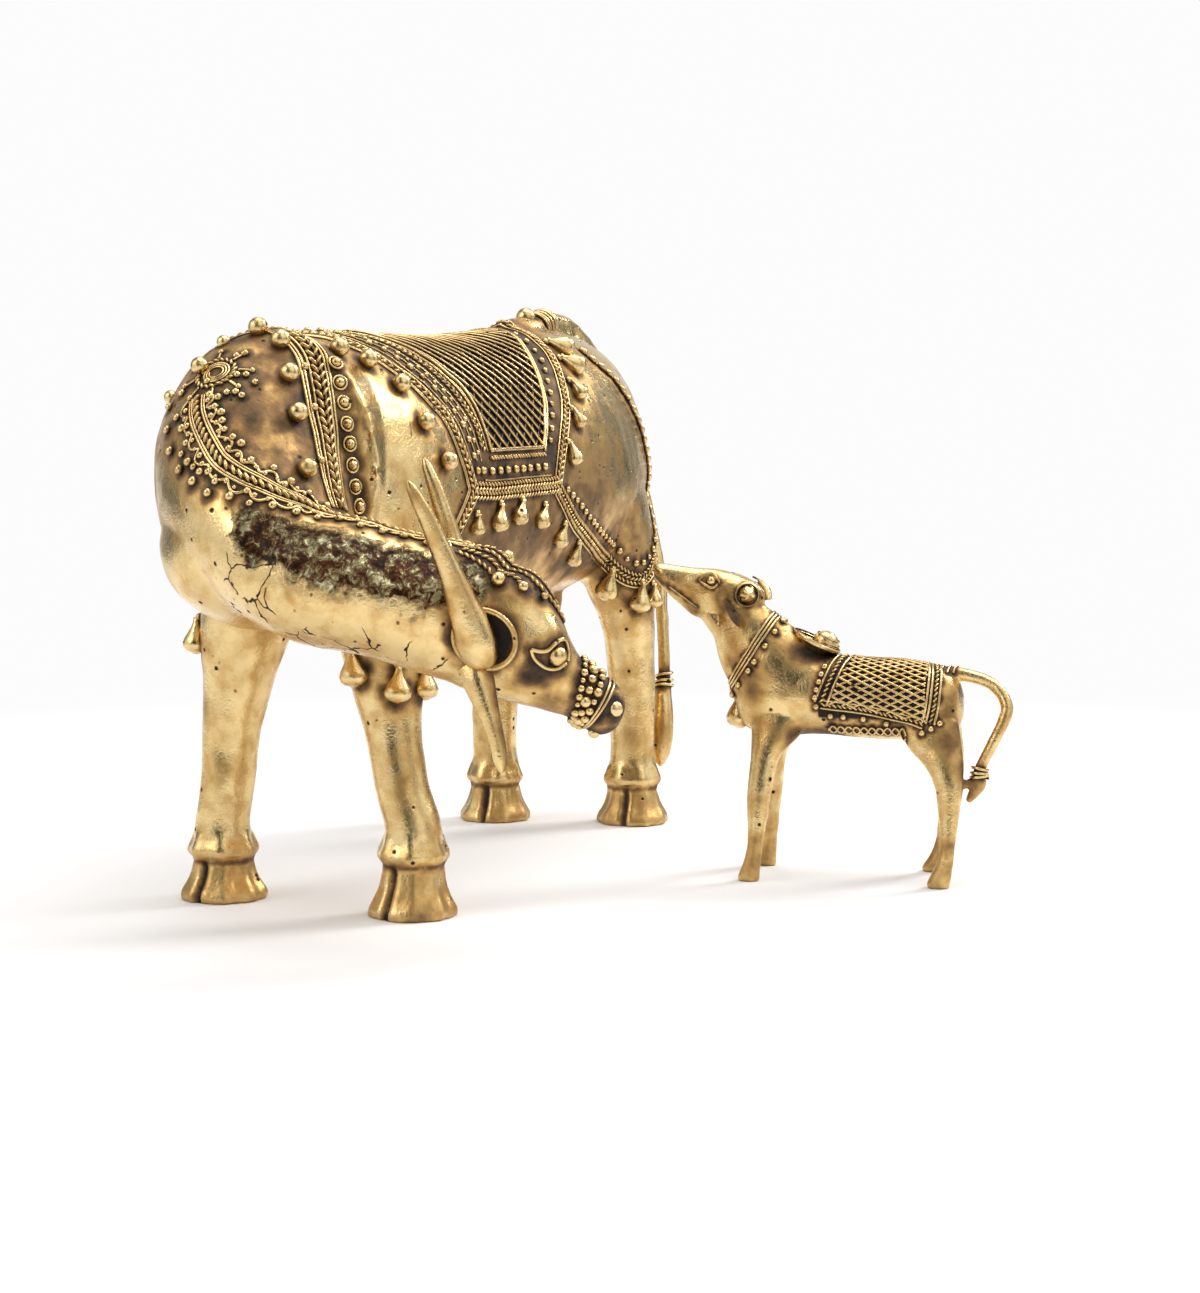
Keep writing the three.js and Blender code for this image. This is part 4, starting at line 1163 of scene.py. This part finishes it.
def calf_straps():
    """The ropes round its net, with grains along them, and two waving threads that cross under its belly."""
    front, rear = calf_run(CALF_FRONT_STRAP), calf_run(CALF_REAR_STRAP)
    parts = [wire(front.beside(shift), 0.5) for shift in (-2.2, 2.2)] + rope(front, 0.85, 2)
    parts += [wire(rear.beside(shift), 0.55) for shift in (-2.2, 0.9, 2.2)]
    parts += rope(rear.beside(-0.7), 0.8, 1.9)
    for side in (1, -1):
        low = calf_run([[x, a * side] for x, a in CALF_LOWER_BAND])
        parts += rope(low, 0.8, 1.9, side) + [wire(low.beside(shift), 0.45) for shift in (-1.5, 1.5)]
        parts += [grain(on_calf(x, a * side), 1.2) for x, a in CALF_GRAINS]
        for sway in (1, -1):
            rows = [[x, side * (138 + 9 * sway * math.sin(x * 1.1))] for x in np.arange(6, -23, -0.7)]
            parts.append(wire(calf_run(rows, 3), 0.45, 0.6))
    return parts


def calf_collar():
    """Three threads, grains above them, and a pendant in front."""
    collar = lay(calf_skin, on_collar, [[a] for a in np.linspace(0, 360, 13)], 10, 3)
    parts = [wire(collar.beside(shift), 0.55, 0.5) for shift in (-1.3, 0, 1.3)]
    parts.append(grains(collar.beside(-3.4), 1.25, 6.8))
    top, tip = in_calf([[40.6, 0, 69], [41, 0, 55]])
    return parts + [stamped(BELL, top, tip - top, CALF_PLACE[:3, 0], 14.5)]


def calf_tail_work():
    """Three crescents at the root of its tail, and the binding near its end."""
    parts = []
    for forward, reach in ((-35.4, 5.5), (-38, 4.6), (-40.4, 3.6)):
        rows = [[forward + 1.6 * abs(s), s * reach] for s in np.linspace(-1, 1, 9)]
        parts.append(wire(lay(calf_skin, on_calf_back, rows, 6, 2), 0.45, 0.5))
    points, faces, darkening = wound(CALF_TAIL, (0, 1, 0), 6.9, 7.6, 3, 0.6)
    return parts + [(in_calf(points), faces, darkening)]


# Its upper and lower lid and the line of its mouth, in the calf's own axes.
CALF_LINES = [
    ([[55.5, 5.3, 110.5], [53, 6.2, 112.8], [50, 6.4, 113], [47.3, 6.9, 109.8]], 0.5),
    ([[55.5, 5.3, 110.5], [53, 6.9, 109], [50, 7.4, 107.8], [47.3, 6.9, 109.8]], 0.5),
    ([[72.5, 2.2, 111.6], [68, 3.4, 108.6], [64.8, 4.2, 106.4], [60, 5.2, 103], [56.3, 5.6, 100.4]], 0.32),
]
# Its near ear hangs beside the cheek, and its far ear stands up behind the brow.
CALF_EARS = [
    [
        [44.6, 7.2, 103, 0.9], [43.4, 9.2, 101.2, 1.9], [41.6, 10.8, 98.4, 2.1], [40, 11.6, 95.6, 1.4],
        [39.3, 11.6, 93.8, 0.4],
    ],
    [[30.4, -3.4, 103, 1.4], [32, -5.4, 107, 2.2], [34, -7, 109.4, 1.8], [37, -7.6, 111.6, 0.4]],
]
# A horn bud, spun about its own line; its two rings are threads.
BUD = turned_shape("horn_bud", [
    [-1, 0.01], [-1, 4], [3.2, 4], [3.6, 3.3], [5, 3], [6.6, 2], [7.8, 0.8], [8.3, 0.01],
], 24)


def calf_head_work():
    """Its eyes, ears, horn buds, and the lines of its mouth."""
    parts = [leaf(rows, in_calf, (0.8, 0, 0.6), 0.45, 0.7) for rows in CALF_EARS]
    for side in (1, -1):
        eye = in_calf([[50.6, side * 5.9, 110.4]])[0]
        parts.append(grain((eye, CALF_PLACE[:3, :3] @ unit(np.array([0.1, side, 0.3]))), 1.8, 0, BALL))
        for rows, radius in CALF_LINES:
            parts.append(free_thread([[x, side * y, z] for x, y, z in rows], in_calf, radius))
        axis = CALF_PLACE[:3, :3] @ unit(np.array([-2.6, side * 7, -0.6]))
        root = in_calf([[38.4, side * 3, 105.6]])[0]
        parts.append(stamped(BUD, root, axis, CALF_PLACE[:3, 2], 1.0))
        first = unit(np.cross(axis, CALF_PLACE[:3, 2]))
        turn = np.linspace(0, 2 * np.pi, 32)[:, None]
        ring = first * np.cos(turn) + np.cross(axis, first) * np.sin(turn)
        for lift in (2.4, 3.7):
            parts.append(tube(root + axis * lift + ring * 4.1, np.tile(axis, (32, 1)), ring, 0.55))
    return parts


# PUTTING THE PIECES TOGETHER
def near(points, spots, reach):
    """Patina and painted shade where threads meet the skin: 1 at a thread, falling to 0 past the reach."""
    tree = KDTree(len(spots))
    for k, spot in enumerate(spots):
        tree.insert(spot, k)
    tree.balance()
    away = np.array([tree.find(Vector(p))[2] for p in points])
    return np.exp(-(away / reach) ** 2)


def paint(piece, name, values):
    """Keeps values from 0 to 1 at the points of a piece, for its material to read."""
    layer = piece.data.attributes.new(name, "FLOAT", "POINT")
    layer.data.foreach_set("value", np.clip(values, 0, 1).astype(np.float32))


def make_piece(name, parts):
    """One piece of threads and grains, with the patina and painted shade of each of its points."""
    points, faces = join([part[:2] for part in parts])
    piece = new_object(name, (points, faces))
    piece.data.polygons.foreach_set("use_smooth", [True] * len(piece.data.polygons))
    paint(piece, "patina_and_shade", np.concatenate([part[2] for part in parts]))
    return piece


dressings = {
    "cow_left_flank_trappings": dress_flank(1),
    "cow_right_flank_trappings": dress_flank(-1),
    "cow_crest_and_tail": crest() + sun() + tail_work() + leg_bells(),
    "cow_head_work": head_work(),
}
calf_dressing = calf_net() + saucer() + calf_straps() + calf_collar() + calf_tail_work() + calf_head_work()
cow_pieces = [cow_body]
for name, parts in dressings.items():
    cow_pieces.append(make_piece(name, parts))
calf_pieces = [calf_body, make_piece("calf_trappings", calf_dressing)]


def spots_of(parts):
    """Every seventh point of threads and grains, enough to tell where they lie."""
    return np.concatenate([part[0][::7] for part in parts])


# Brown patches left by the fire: centre, reach, strength.
COW_PATINA = [
    ((-52, -30, 160), (20, 20, 30), 0.5), ((-64, -16, 178), (14, 18, 15), 0.5),
    ((-47, -36, 134), (14, 12, 16), 0.5), ((-44, -18, 190), (13, 16, 12), 0.5),
    ((-36, -40, 150), (10, 8, 30), 0.48), ((-66, -8, 166), (14, 20, 22), 0.5),
    ((-56, -14, 184), (14, 22, 14), 0.5), ((-60, -26, 145), (14, 14, 16), 0.45),
    ((-20, 30, 170), (40, 30, 40), 0.25), ((140, -40, 140), (24, 14, 26), 0.3),
    ((60, -44, 104), (60, 20, 12), 0.6), ((0, 0, 120), (24, 40, 10), 0.5),
    ((196, -40, 104), (16, 10, 12), 0.45), ((-50, -20, 170), (12, 16, 20), 0.5),
    ((150, -40, 116), (34, 14, 10), 0.6), ((180, -34, 120), (20, 16, 16), 0.4),
    ((120, 0, 96), (60, 30, 10), 0.5),
]
# Patches of patina on her head, in its own axes; the full-strength dots at the rear corners of her eyes and
# at her nostrils are painted shade.
HEAD_PATINA_AND_SHADE = [
    ((17, -12, -1), (5, 5, 5), 0.65), ((-4, -8, 16), (9, 7, 6), 0.5), ((14.6, -12, 6), (2.4, 2.4, 2.4), 1.0),
    ((30, -8, -8), (10, 6, 4), 0.35), ((46, -7.4, 4.6), (2.2, 2.2, 2.2), 1.0), ((50, -4, -6), (4, 4, 3), 0.6),
    ((17, 12, -1), (5, 5, 5), 0.65), ((14.6, 12, 6), (2.4, 2.4, 2.4), 1.0),
    ((46, 7.4, 4.6), (2.2, 2.2, 2.2), 1.0),
]
# Patches of patina on the calf, in its own axes; the strong one on its back under the saucer is painted
# shadow.
CALF_PATINA_AND_SHADE = [
    ((10, 0, 52), (40, 12, 5), 0.55), ((36, 8, 74), (7, 6, 8), 0.35), ((34, 8, 100), (6, 5, 5), 0.4),
    ((58, 5, 101), (7, 3, 4), 0.35), ((46, 6, 104), (4, 4, 5), 0.5), ((-38, 12, 58), (6, 6, 10), 0.35),
    ((-44, 10, 42), (6, 6, 8), 0.5), ((12, 0, 84), (12, 10, 4), 0.9),
]
# Where her skin is cracked and pitted: the chest, the underside of her neck and the foot of her strap.
COW_CRACKS = [
    ((-84, -24, 112), (16, 20, 22)), ((-70, -50, 102), (16, 18, 12)), ((-56, -74, 94), (12, 16, 10)),
    ((-22, -44, 132), (6, 8, 10)),
]
# Rough, scaled metal along the near side of her neck, where the mould gave way.
SCALE_LINE = [
    (-82, -30, 132), (-80, -40, 128), (-76, -54, 124), (-70, -66, 121), (-62, -76, 118), (-58, -84, 117),
]


def cow_ground(points):
    """The dark ground under her trappings: darkest in the net, then the blanket, then under the strap."""
    height = points[:, 2] - np.interp(points[:, 0], AXIS_X, AXIS_Z)
    angle = np.abs(np.degrees(np.arctan2(points[:, 1], height)))
    x = points[:, 0]

    def span(start, end, last, strength, soft=1.6):
        depth = np.minimum(x - start, end - x) / soft
        return strength * np.clip(depth, 0, 1) * np.clip((last - angle) / (soft * 1.2), 0, 1)

    front = np.interp(angle, *columns(FRONT_BORDER[:13]))
    back = np.interp(angle, *columns(REAR_BORDER))
    strap = np.interp(angle, *columns(STRAP))
    lines = [
        span(front - 4, back + 4, 98, 0.66),
        span(np.interp(angle, *columns(NET_FRONT)), np.interp(angle, *columns(NET_REAR)), NET_LOW + 2, 1.0),
        span(strap - 6.6, strap + 4.4, 109, 0.64),
    ]
    # Her belly, and the skin round the bells, the thigh's edge included.
    lines.append(span(10, 170, 150, 0.5, 22) * np.clip((angle - 94) / 3, 0, 1))
    lines.append(span(back - 14, back + 20, 106, 0.5, 12))
    lines.append(span(strap - 20, strap + 2, 110, 0.5, 7))
    return np.max(lines, axis=0)


def patina_and_thread_shade(points, parts, patches, reach, lumps_mm):
    """Old brown patina in its patches, in lumps all over, and more low on the legs, with patina and painted
    shade round the threads.
    """
    # Patina and painted shade round the threads.
    patina_and_shade = 0.8 * near(points, spots_of(parts), reach)
    for centre, size, strength in patches:
        patina_and_shade = np.maximum(patina_and_shade, strength * np.minimum(1, 1.8 * bump_at(points, centre, size)))
    patina_and_shade = patina_and_shade + 0.14 * rough(points, lumps_mm, 4.2) + 0.1 * rough(points, 5, 1.3)
    patina_and_shade += 0.08 * np.clip((96 - points[:, 2]) / 12, 0, 1)
    return patina_and_shade + 0.12 * np.clip((22 - points[:, 2]) / 5, 0, 1)


def weather_cow(parts):
    """Her patina and painted shade, cracks and scale."""
    points = millimetres(cow_body)
    head_patches = [(in_head([centre])[0], size, strength) for centre, size, strength in HEAD_PATINA_AND_SHADE]
    patina_and_shade = patina_and_thread_shade(points, parts, COW_PATINA + head_patches, 2.9, 14)
    cracked = np.max([bump_at(points, centre, size) for centre, size in COW_CRACKS], axis=0)
    patina_and_shade += 0.3 * cracked * rough(points, 3.2, 6.1)
    patina_and_shade = np.maximum(patina_and_shade, cow_ground(points))
    # Painted shade in the clefts of the hooves and in the groove under their collars.
    for x, y, rim, turn in FEET.values():
        close, _, cleft = round_foot(points, x, y, turn)
        groove = 0.6 * np.exp(-((points[:, 2] - rim + 3.4) / 1.2) ** 2)
        patina_and_shade = np.maximum(patina_and_shade, close * np.maximum(cleft * (points[:, 2] < rim - 3), groove))
    # Painted shade filling the cups at the feet of her horns.
    for side in (1, -1):
        cup = np.linalg.norm(points - in_head([[-1.5, side * 15.5, -0.7]]), axis=1)
        patina_and_shade = np.maximum(patina_and_shade, np.clip((9.6 - cup) / 1.2, 0, 1))
    line = between(SCALE_LINE, np.linspace(0, len(SCALE_LINE) - 1, 24))
    scale = np.max([bump_at(points, spot, (11, 12, 11)) for spot in line], axis=0)
    paint(cow_body, "patina_and_shade", patina_and_shade)
    paint(cow_body, "scale", scale)
    paint(cow_body, "cracked", cracked)


def weather_calf(parts):
    """Its patina, and painted shade round its threads, darkest under the net on its back."""
    points = millimetres(calf_body)
    patches = [(in_calf([centre])[0], size, strength) for centre, size, strength in CALF_PATINA_AND_SHADE]
    patina_and_shade = patina_and_thread_shade(points, parts, patches, 1.5, 8)
    ahead, side, height = ((points - CALF_PLACE[:3, 3]) @ CALF_PLACE[:3, :3]).T
    angle = np.degrees(np.arctan2(np.abs(side), height - CALF_AXIS))
    front = np.interp(angle, *columns(CALF_FRONT_STRAP[4:]))
    inside = np.clip(np.minimum(ahead + 33.5, front + 1.5 - ahead), 0, 1)
    under_net = inside * np.clip((CALF_NET_END - angle) / 4, 0, 1) * (height > 48)
    paint(calf_body, "patina_and_shade", np.maximum(patina_and_shade, under_net))


weather_cow([part for parts in dressings.values() for part in parts])
weather_calf(calf_dressing)


# MATERIALS
def linear(colour):
    """Linear values from an sRGB hex colour."""
    channels = [int(colour[k:k + 2], 16) / 255 for k in (1, 3, 5)]
    return [c / 12.92 if c <= 0.04045 else ((c + 0.055) / 1.055) ** 2.4 for c in channels] + [1.0]


def add(tree, kind, settings=None, stops=(), **links):
    """A node with its settings and, on a colour ramp, its stops as (place, sRGB hex).

    Inputs go by name, or by number as _0, and take a value or an output.
    """
    node = tree.nodes.new(kind)
    for name, value in (settings or {}).items():
        setattr(node, name, value)
    if stops:
        elements = node.color_ramp.elements
        while len(elements) < len(stops):
            elements.new(0.5)
        for element, (position, colour) in zip(elements, stops):
            element.position = position
            element.color = linear(colour)
    for name, value in links.items():
        key = int(name[1:]) if name[0] == "_" else name.replace("_", " ")
        if isinstance(value, bpy.types.NodeSocket):
            tree.links.new(value, node.inputs[key])
        else:
            node.inputs[key].default_value = value
    return node


def blank_material(name):
    material = bpy.data.materials.new(name)
    material.use_nodes = True
    material.node_tree.nodes.clear()
    return material, material.node_tree


# Brass from rubbed, through brown patina, to the darkest patina and painted shade; and the crust where the
# mould gave way, its own olive and rust, with painted shade in its hollows and a pale painted highlight on
# its crown.
BRASS = ((0.0, "#E3C88F"), (0.25, "#C7A265"), (0.5, "#8A6A42"), (0.75, "#48331D"), (0.95, "#150D07"))
CRUST = (
    (0.34, "#0A0603"), (0.46, "#241A10"), (0.51, "#4A2410"), (0.56, "#5E5439"), (0.62, "#8E8562"),
    (0.7, "#D8CDA6"),
)


def cast_brass(name, scaled):
    """Lost-wax brass: yellow metal rubbed bright on what stands proud, brown with old patina in the hollows,
    and darker there still with painted shade.

    Pits are 1 to 2 mm across, as trapped gas leaves them; the skin's fine grain is that of the clay mould.
    """
    material, tree = blank_material(name)
    place_in = add(tree, "ShaderNodeTexCoord").outputs["Object"]
    patina_and_shade = add(tree, "ShaderNodeAttribute", {"attribute_name": "patina_and_shade"}).outputs["Fac"]
    cracked = add(tree, "ShaderNodeAttribute", {"attribute_name": "cracked"}).outputs["Fac"]
    # Clouds about 9 mm across break up the patina's edge.
    clouds = add(
        tree, "ShaderNodeTexNoise", Vector=place_in, Scale=110.0, Detail=6.0, Roughness=0.62,
    ).outputs["Fac"]
    fine = add(
        tree, "ShaderNodeTexNoise", Vector=place_in, Scale=900.0, Detail=4.0, Roughness=0.6,
    ).outputs["Fac"]
    # The darkening is the point's patina and painted shade, moved up or down by the clouds.
    darkening = add(tree, "ShaderNodeMath", {"operation": "MULTIPLY_ADD"}, _0=clouds, _1=0.9, _2=-0.42).outputs[0]
    darkening = add(
        tree, "ShaderNodeMath", {"operation": "ADD", "use_clamp": True}, _0=patina_and_shade, _1=darkening,
    ).outputs[0]
    # Pits: cells 4 mm apart, about one in eight of them open, and more where the skin is cracked.
    cells = add(tree, "ShaderNodeTexVoronoi", Vector=place_in, Scale=260.0)
    pits = add(
        tree, "ShaderNodeMapRange", Value=cells.outputs["Distance"], _1=0.12, _2=0.26, _3=1.0, _4=0.0,
    ).outputs[0]
    number = add(tree, "ShaderNodeSeparateColor", Color=cells.outputs["Color"]).outputs[0]
    number = add(
        tree, "ShaderNodeMath", {"operation": "MULTIPLY_ADD"}, _0=cracked, _1=0.16, _2=number,
    ).outputs[0]
    opened = add(tree, "ShaderNodeMath", {"operation": "GREATER_THAN"}, _0=number, _1=0.87).outputs[0]
    pits = add(tree, "ShaderNodeMath", {"operation": "MULTIPLY"}, _0=pits, _1=opened).outputs[0]
    if scaled:
        # Cracks where the wax skin parted, in cells about 12 mm across, open only here and there.
        warp = add(tree, "ShaderNodeTexNoise", Vector=place_in, Scale=140.0, Detail=3.0).outputs["Color"]
        bent = add(
            tree, "ShaderNodeMix", {"data_type": "RGBA", "blend_type": "ADD"}, _0=0.008, _6=place_in, _7=warp,
        ).outputs[2]
        edges = add(
            tree, "ShaderNodeTexVoronoi", {"feature": "DISTANCE_TO_EDGE"}, Vector=bent, Scale=84.0,
        ).outputs["Distance"]
        line = add(tree, "ShaderNodeMapRange", Value=edges, _1=0.012, _2=0.03, _3=1.0, _4=0.0).outputs[0]
        where = add(tree, "ShaderNodeTexNoise", Vector=place_in, Scale=60.0, Detail=3.0).outputs["Fac"]
        where = add(
            tree, "ShaderNodeMath", {"operation": "MULTIPLY_ADD"}, _0=cracked, _1=0.3, _2=where,
        ).outputs[0]
        where = add(tree, "ShaderNodeMapRange", Value=where, _1=0.7, _2=0.74).outputs[0]
        cracks = add(tree, "ShaderNodeMath", {"operation": "MULTIPLY"}, _0=line, _1=where).outputs[0]
        pits = add(tree, "ShaderNodeMath", {"operation": "MAXIMUM"}, _0=pits, _1=cracks).outputs[0]
    darkening = add(tree, "ShaderNodeMath", {"operation": "MAXIMUM"}, _0=darkening, _1=pits).outputs[0]
    colour = add(tree, "ShaderNodeValToRGB", stops=BRASS, Fac=darkening).outputs["Color"]
    # Rubbed metal is smooth, and metal darkened by patina and painted shade is dull.
    roughness = add(
        tree, "ShaderNodeMapRange", Value=darkening, _1=0.05, _2=0.55, _3=0.13, _4=0.56,
    ).outputs[0]
    roughness = add(
        tree, "ShaderNodeMath", {"operation": "MULTIPLY_ADD"}, _0=fine, _1=0.12, _2=roughness,
    ).outputs[0]
    # The relief is the fine grain and the clouds, with the pits sunk into them.
    height = add(
        tree, "ShaderNodeMath", {"operation": "MULTIPLY_ADD"}, _0=clouds, _1=0.35, _2=fine,
    ).outputs[0]
    height = add(
        tree, "ShaderNodeMath", {"operation": "MULTIPLY_ADD"}, _0=pits, _1=-3.0, _2=height,
    ).outputs[0]
    if scaled:
        # The crust covers the skin in ragged patches and stands out from it.
        scale = add(tree, "ShaderNodeAttribute", {"attribute_name": "scale"}).outputs["Fac"]
        crust = add(
            tree, "ShaderNodeTexNoise",
            Vector=place_in, Scale=330.0, Detail=9.0, Roughness=0.78, Distortion=0.6,
        ).outputs["Fac"]
        spread = add(
            tree, "ShaderNodeMath", {"operation": "MULTIPLY_ADD"}, _0=clouds, _1=1.3, _2=-0.62,
        ).outputs[0]
        spread = add(tree, "ShaderNodeMath", {"operation": "ADD"}, _0=scale, _1=spread).outputs[0]
        spread = add(tree, "ShaderNodeMapRange", Value=spread, _1=0.42, _2=0.62).outputs[0]
        # The crust's colour follows its relief: its own olive and rust, with painted shade, near black, in
        # its hollows and a pale painted highlight on its crowns.
        shade_on = add(
            tree, "ShaderNodeMath", {"operation": "MULTIPLY_ADD"}, _0=clouds, _1=0.5, _2=crust,
        ).outputs[0]
        shade_on = add(tree, "ShaderNodeMath", {"operation": "SUBTRACT"}, _0=shade_on, _1=0.23).outputs[0]
        crust_colour = add(tree, "ShaderNodeValToRGB", stops=CRUST, Fac=shade_on).outputs["Color"]
        colour = add(
            tree, "ShaderNodeMix", {"data_type": "RGBA"}, _0=spread, _6=colour, _7=crust_colour,
        ).outputs[2]
        lift = add(tree, "ShaderNodeMath", {"operation": "MULTIPLY"}, _0=spread, _1=crust).outputs[0]
        height = add(
            tree, "ShaderNodeMath", {"operation": "MULTIPLY_ADD"}, _0=lift, _1=9.0, _2=height,
        ).outputs[0]
    bump = add(tree, "ShaderNodeBump", Strength=0.5, Distance=0.00035, Height=height).outputs["Normal"]
    # Bare metal where it is rubbed; the brown is oxide on it, and painted shade makes it less metallic too.
    metal = add(tree, "ShaderNodeMapRange", Value=darkening, _1=0.3, _2=0.75, _3=1.0, _4=0.4).outputs[0]
    shader = add(
        tree, "ShaderNodeBsdfPrincipled", Base_Color=colour, Metallic=metal, Roughness=roughness, Normal=bump,
    )
    add(tree, "ShaderNodeOutputMaterial", Surface=shader.outputs["BSDF"])
    return material


skin_brass = cast_brass("lost_wax_brass_skin", True)
thread_brass = cast_brass("lost_wax_brass_threads", False)
for pieces, node, slot in ((cow_pieces, "cow", "cow_brass"), (calf_pieces, "calf", "calf_brass")):
    for piece in pieces:
        piece.data.materials.clear()
        piece.data.materials.append(skin_brass if piece in (cow_body, calf_body) else thread_brass)
        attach(piece, "root")
    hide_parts(node)


# CAMERA, FLOOR AND LIGHT
EYE = np.array([-659.0, -394.9, 150.0])
FOCAL_PIXELS, PICTURE_HEIGHT = 2200, 1293
HEADING, PITCH = math.radians(23.6), math.radians(4.48)
# Level directions away from the camera and to its right.
AWAY = np.array([math.cos(HEADING), math.sin(HEADING), 0])
RIGHT = np.array([math.sin(HEADING), -math.cos(HEADING), 0])


def add_camera():
    look = Vector(AWAY * math.cos(PITCH) - UP * math.sin(PITCH))
    turn = look.to_track_quat("-Z", "Y").to_euler()
    bpy.ops.object.camera_add(location=((EYE - MIDDLE) / 1000).tolist(), rotation=turn)
    camera = bpy.context.object
    camera.data.sensor_fit = "VERTICAL"
    camera.data.sensor_height = 36
    camera.data.lens = 36 * FOCAL_PIXELS / PICTURE_HEIGHT
    camera.data.clip_start = 0.01
    bpy.context.scene.camera = camera


def add_floor():
    bpy.ops.mesh.primitive_circle_add(vertices=96, radius=1.5, fill_type="NGON")
    floor = bpy.context.object
    floor.name = "floor"
    material, tree = blank_material("white_paper")
    place_in = add(tree, "ShaderNodeTexCoord").outputs["Object"]
    # Paper under the pair, which runs out into an even white sweep between 0.25 and 0.75 m from the middle.
    away = add(tree, "ShaderNodeVectorMath", {"operation": "LENGTH"}, _0=place_in).outputs["Value"]
    blend = add(
        tree, "ShaderNodeMapRange", {"interpolation_type": "SMOOTHSTEP"}, Value=away, _1=0.25, _2=0.75,
    )
    paper = add(tree, "ShaderNodeBsdfDiffuse", Color=linear("#F3F2F2")).outputs["BSDF"]
    sweep = add(tree, "ShaderNodeEmission", Color=linear("#FDFCFC"), Strength=1.0).outputs["Emission"]
    both = add(tree, "ShaderNodeMixShader", _0=blend.outputs[0], _1=paper, _2=sweep).outputs[0]
    add(tree, "ShaderNodeOutputMaterial", Surface=both)
    floor.data.materials.append(material)


def add_softbox(name, away, right, up, size, watts):
    """A square softbox, placed in metres from the middle of the pair and turned toward it."""
    spot = Vector(AWAY * away + RIGHT * right + UP * up)
    bpy.ops.object.light_add(type="AREA", location=spot, rotation=(-spot).to_track_quat("-Z", "Y").to_euler())
    lamp = bpy.context.object
    lamp.name = name
    lamp.data.shape = "SQUARE"
    lamp.data.size = size
    lamp.data.energy = watts


def add_studio():
    """White all round to the camera, while the metal sees five soft bright walls in a dark room."""
    world = bpy.data.worlds.new("studio")
    bpy.context.scene.world = world
    world.use_nodes = True
    tree = world.node_tree
    tree.nodes.clear()
    way = add(tree, "ShaderNodeTexCoord").outputs["Generated"]

    def toward(vector, start, end, strength):
        """Light from round one direction, faint at the first lean toward it and full at the second."""
        lean = add(
            tree, "ShaderNodeVectorMath", {"operation": "DOT_PRODUCT"}, _0=way, _1=unit(vector).tolist(),
        )
        return add(
            tree, "ShaderNodeMapRange", {"interpolation_type": "SMOOTHSTEP"}, Value=lean.outputs["Value"],
            _1=start, _2=end, _3=0.0, _4=strength,
        ).outputs[0]

    left = toward(-RIGHT - AWAY * 0.35 + UP * 0.3, 0.62, 0.86, 0.85)
    top = toward(UP + RIGHT * 0.2, 0.55, 0.9, 0.55)
    back = toward(AWAY - RIGHT * 0.1 + UP * 0.15, 0.66, 0.9, 0.8)
    right = toward(RIGHT + AWAY * 0.2 + UP * 0.3, 0.88, 0.96, 1.0)
    front = toward(RIGHT * 0.55 - AWAY * 0.65 + UP * 0.5, 0.8, 0.95, 1.1)
    light = 0.035
    for part in (left, top, back, right, front):
        light = add(tree, "ShaderNodeMath", {"operation": "ADD"}, _0=light, _1=part).outputs[0]
    around = add(tree, "ShaderNodeBackground", Color=(1, 1, 1, 1), Strength=light).outputs[0]
    seen = add(tree, "ShaderNodeBackground", Color=linear("#FDFCFC"), Strength=1.0).outputs[0]
    camera_sees = add(tree, "ShaderNodeLightPath").outputs["Is Camera Ray"]
    both = add(tree, "ShaderNodeMixShader", _0=camera_sees, _1=around, _2=seen).outputs[0]
    add(tree, "ShaderNodeOutputWorld", Surface=both)


add_camera()
add_floor()
add_softbox("top_softbox", 0.3, 0.2, 2.4, 1.8, 34)
add_softbox("left_softbox", -0.9, -1.7, 1.3, 1.2, 9)
add_softbox("right_back_softbox", 1.0, 1.7, 1.7, 0.7, 30)
add_studio()
bpy.context.scene.view_settings.view_transform = "Standard"
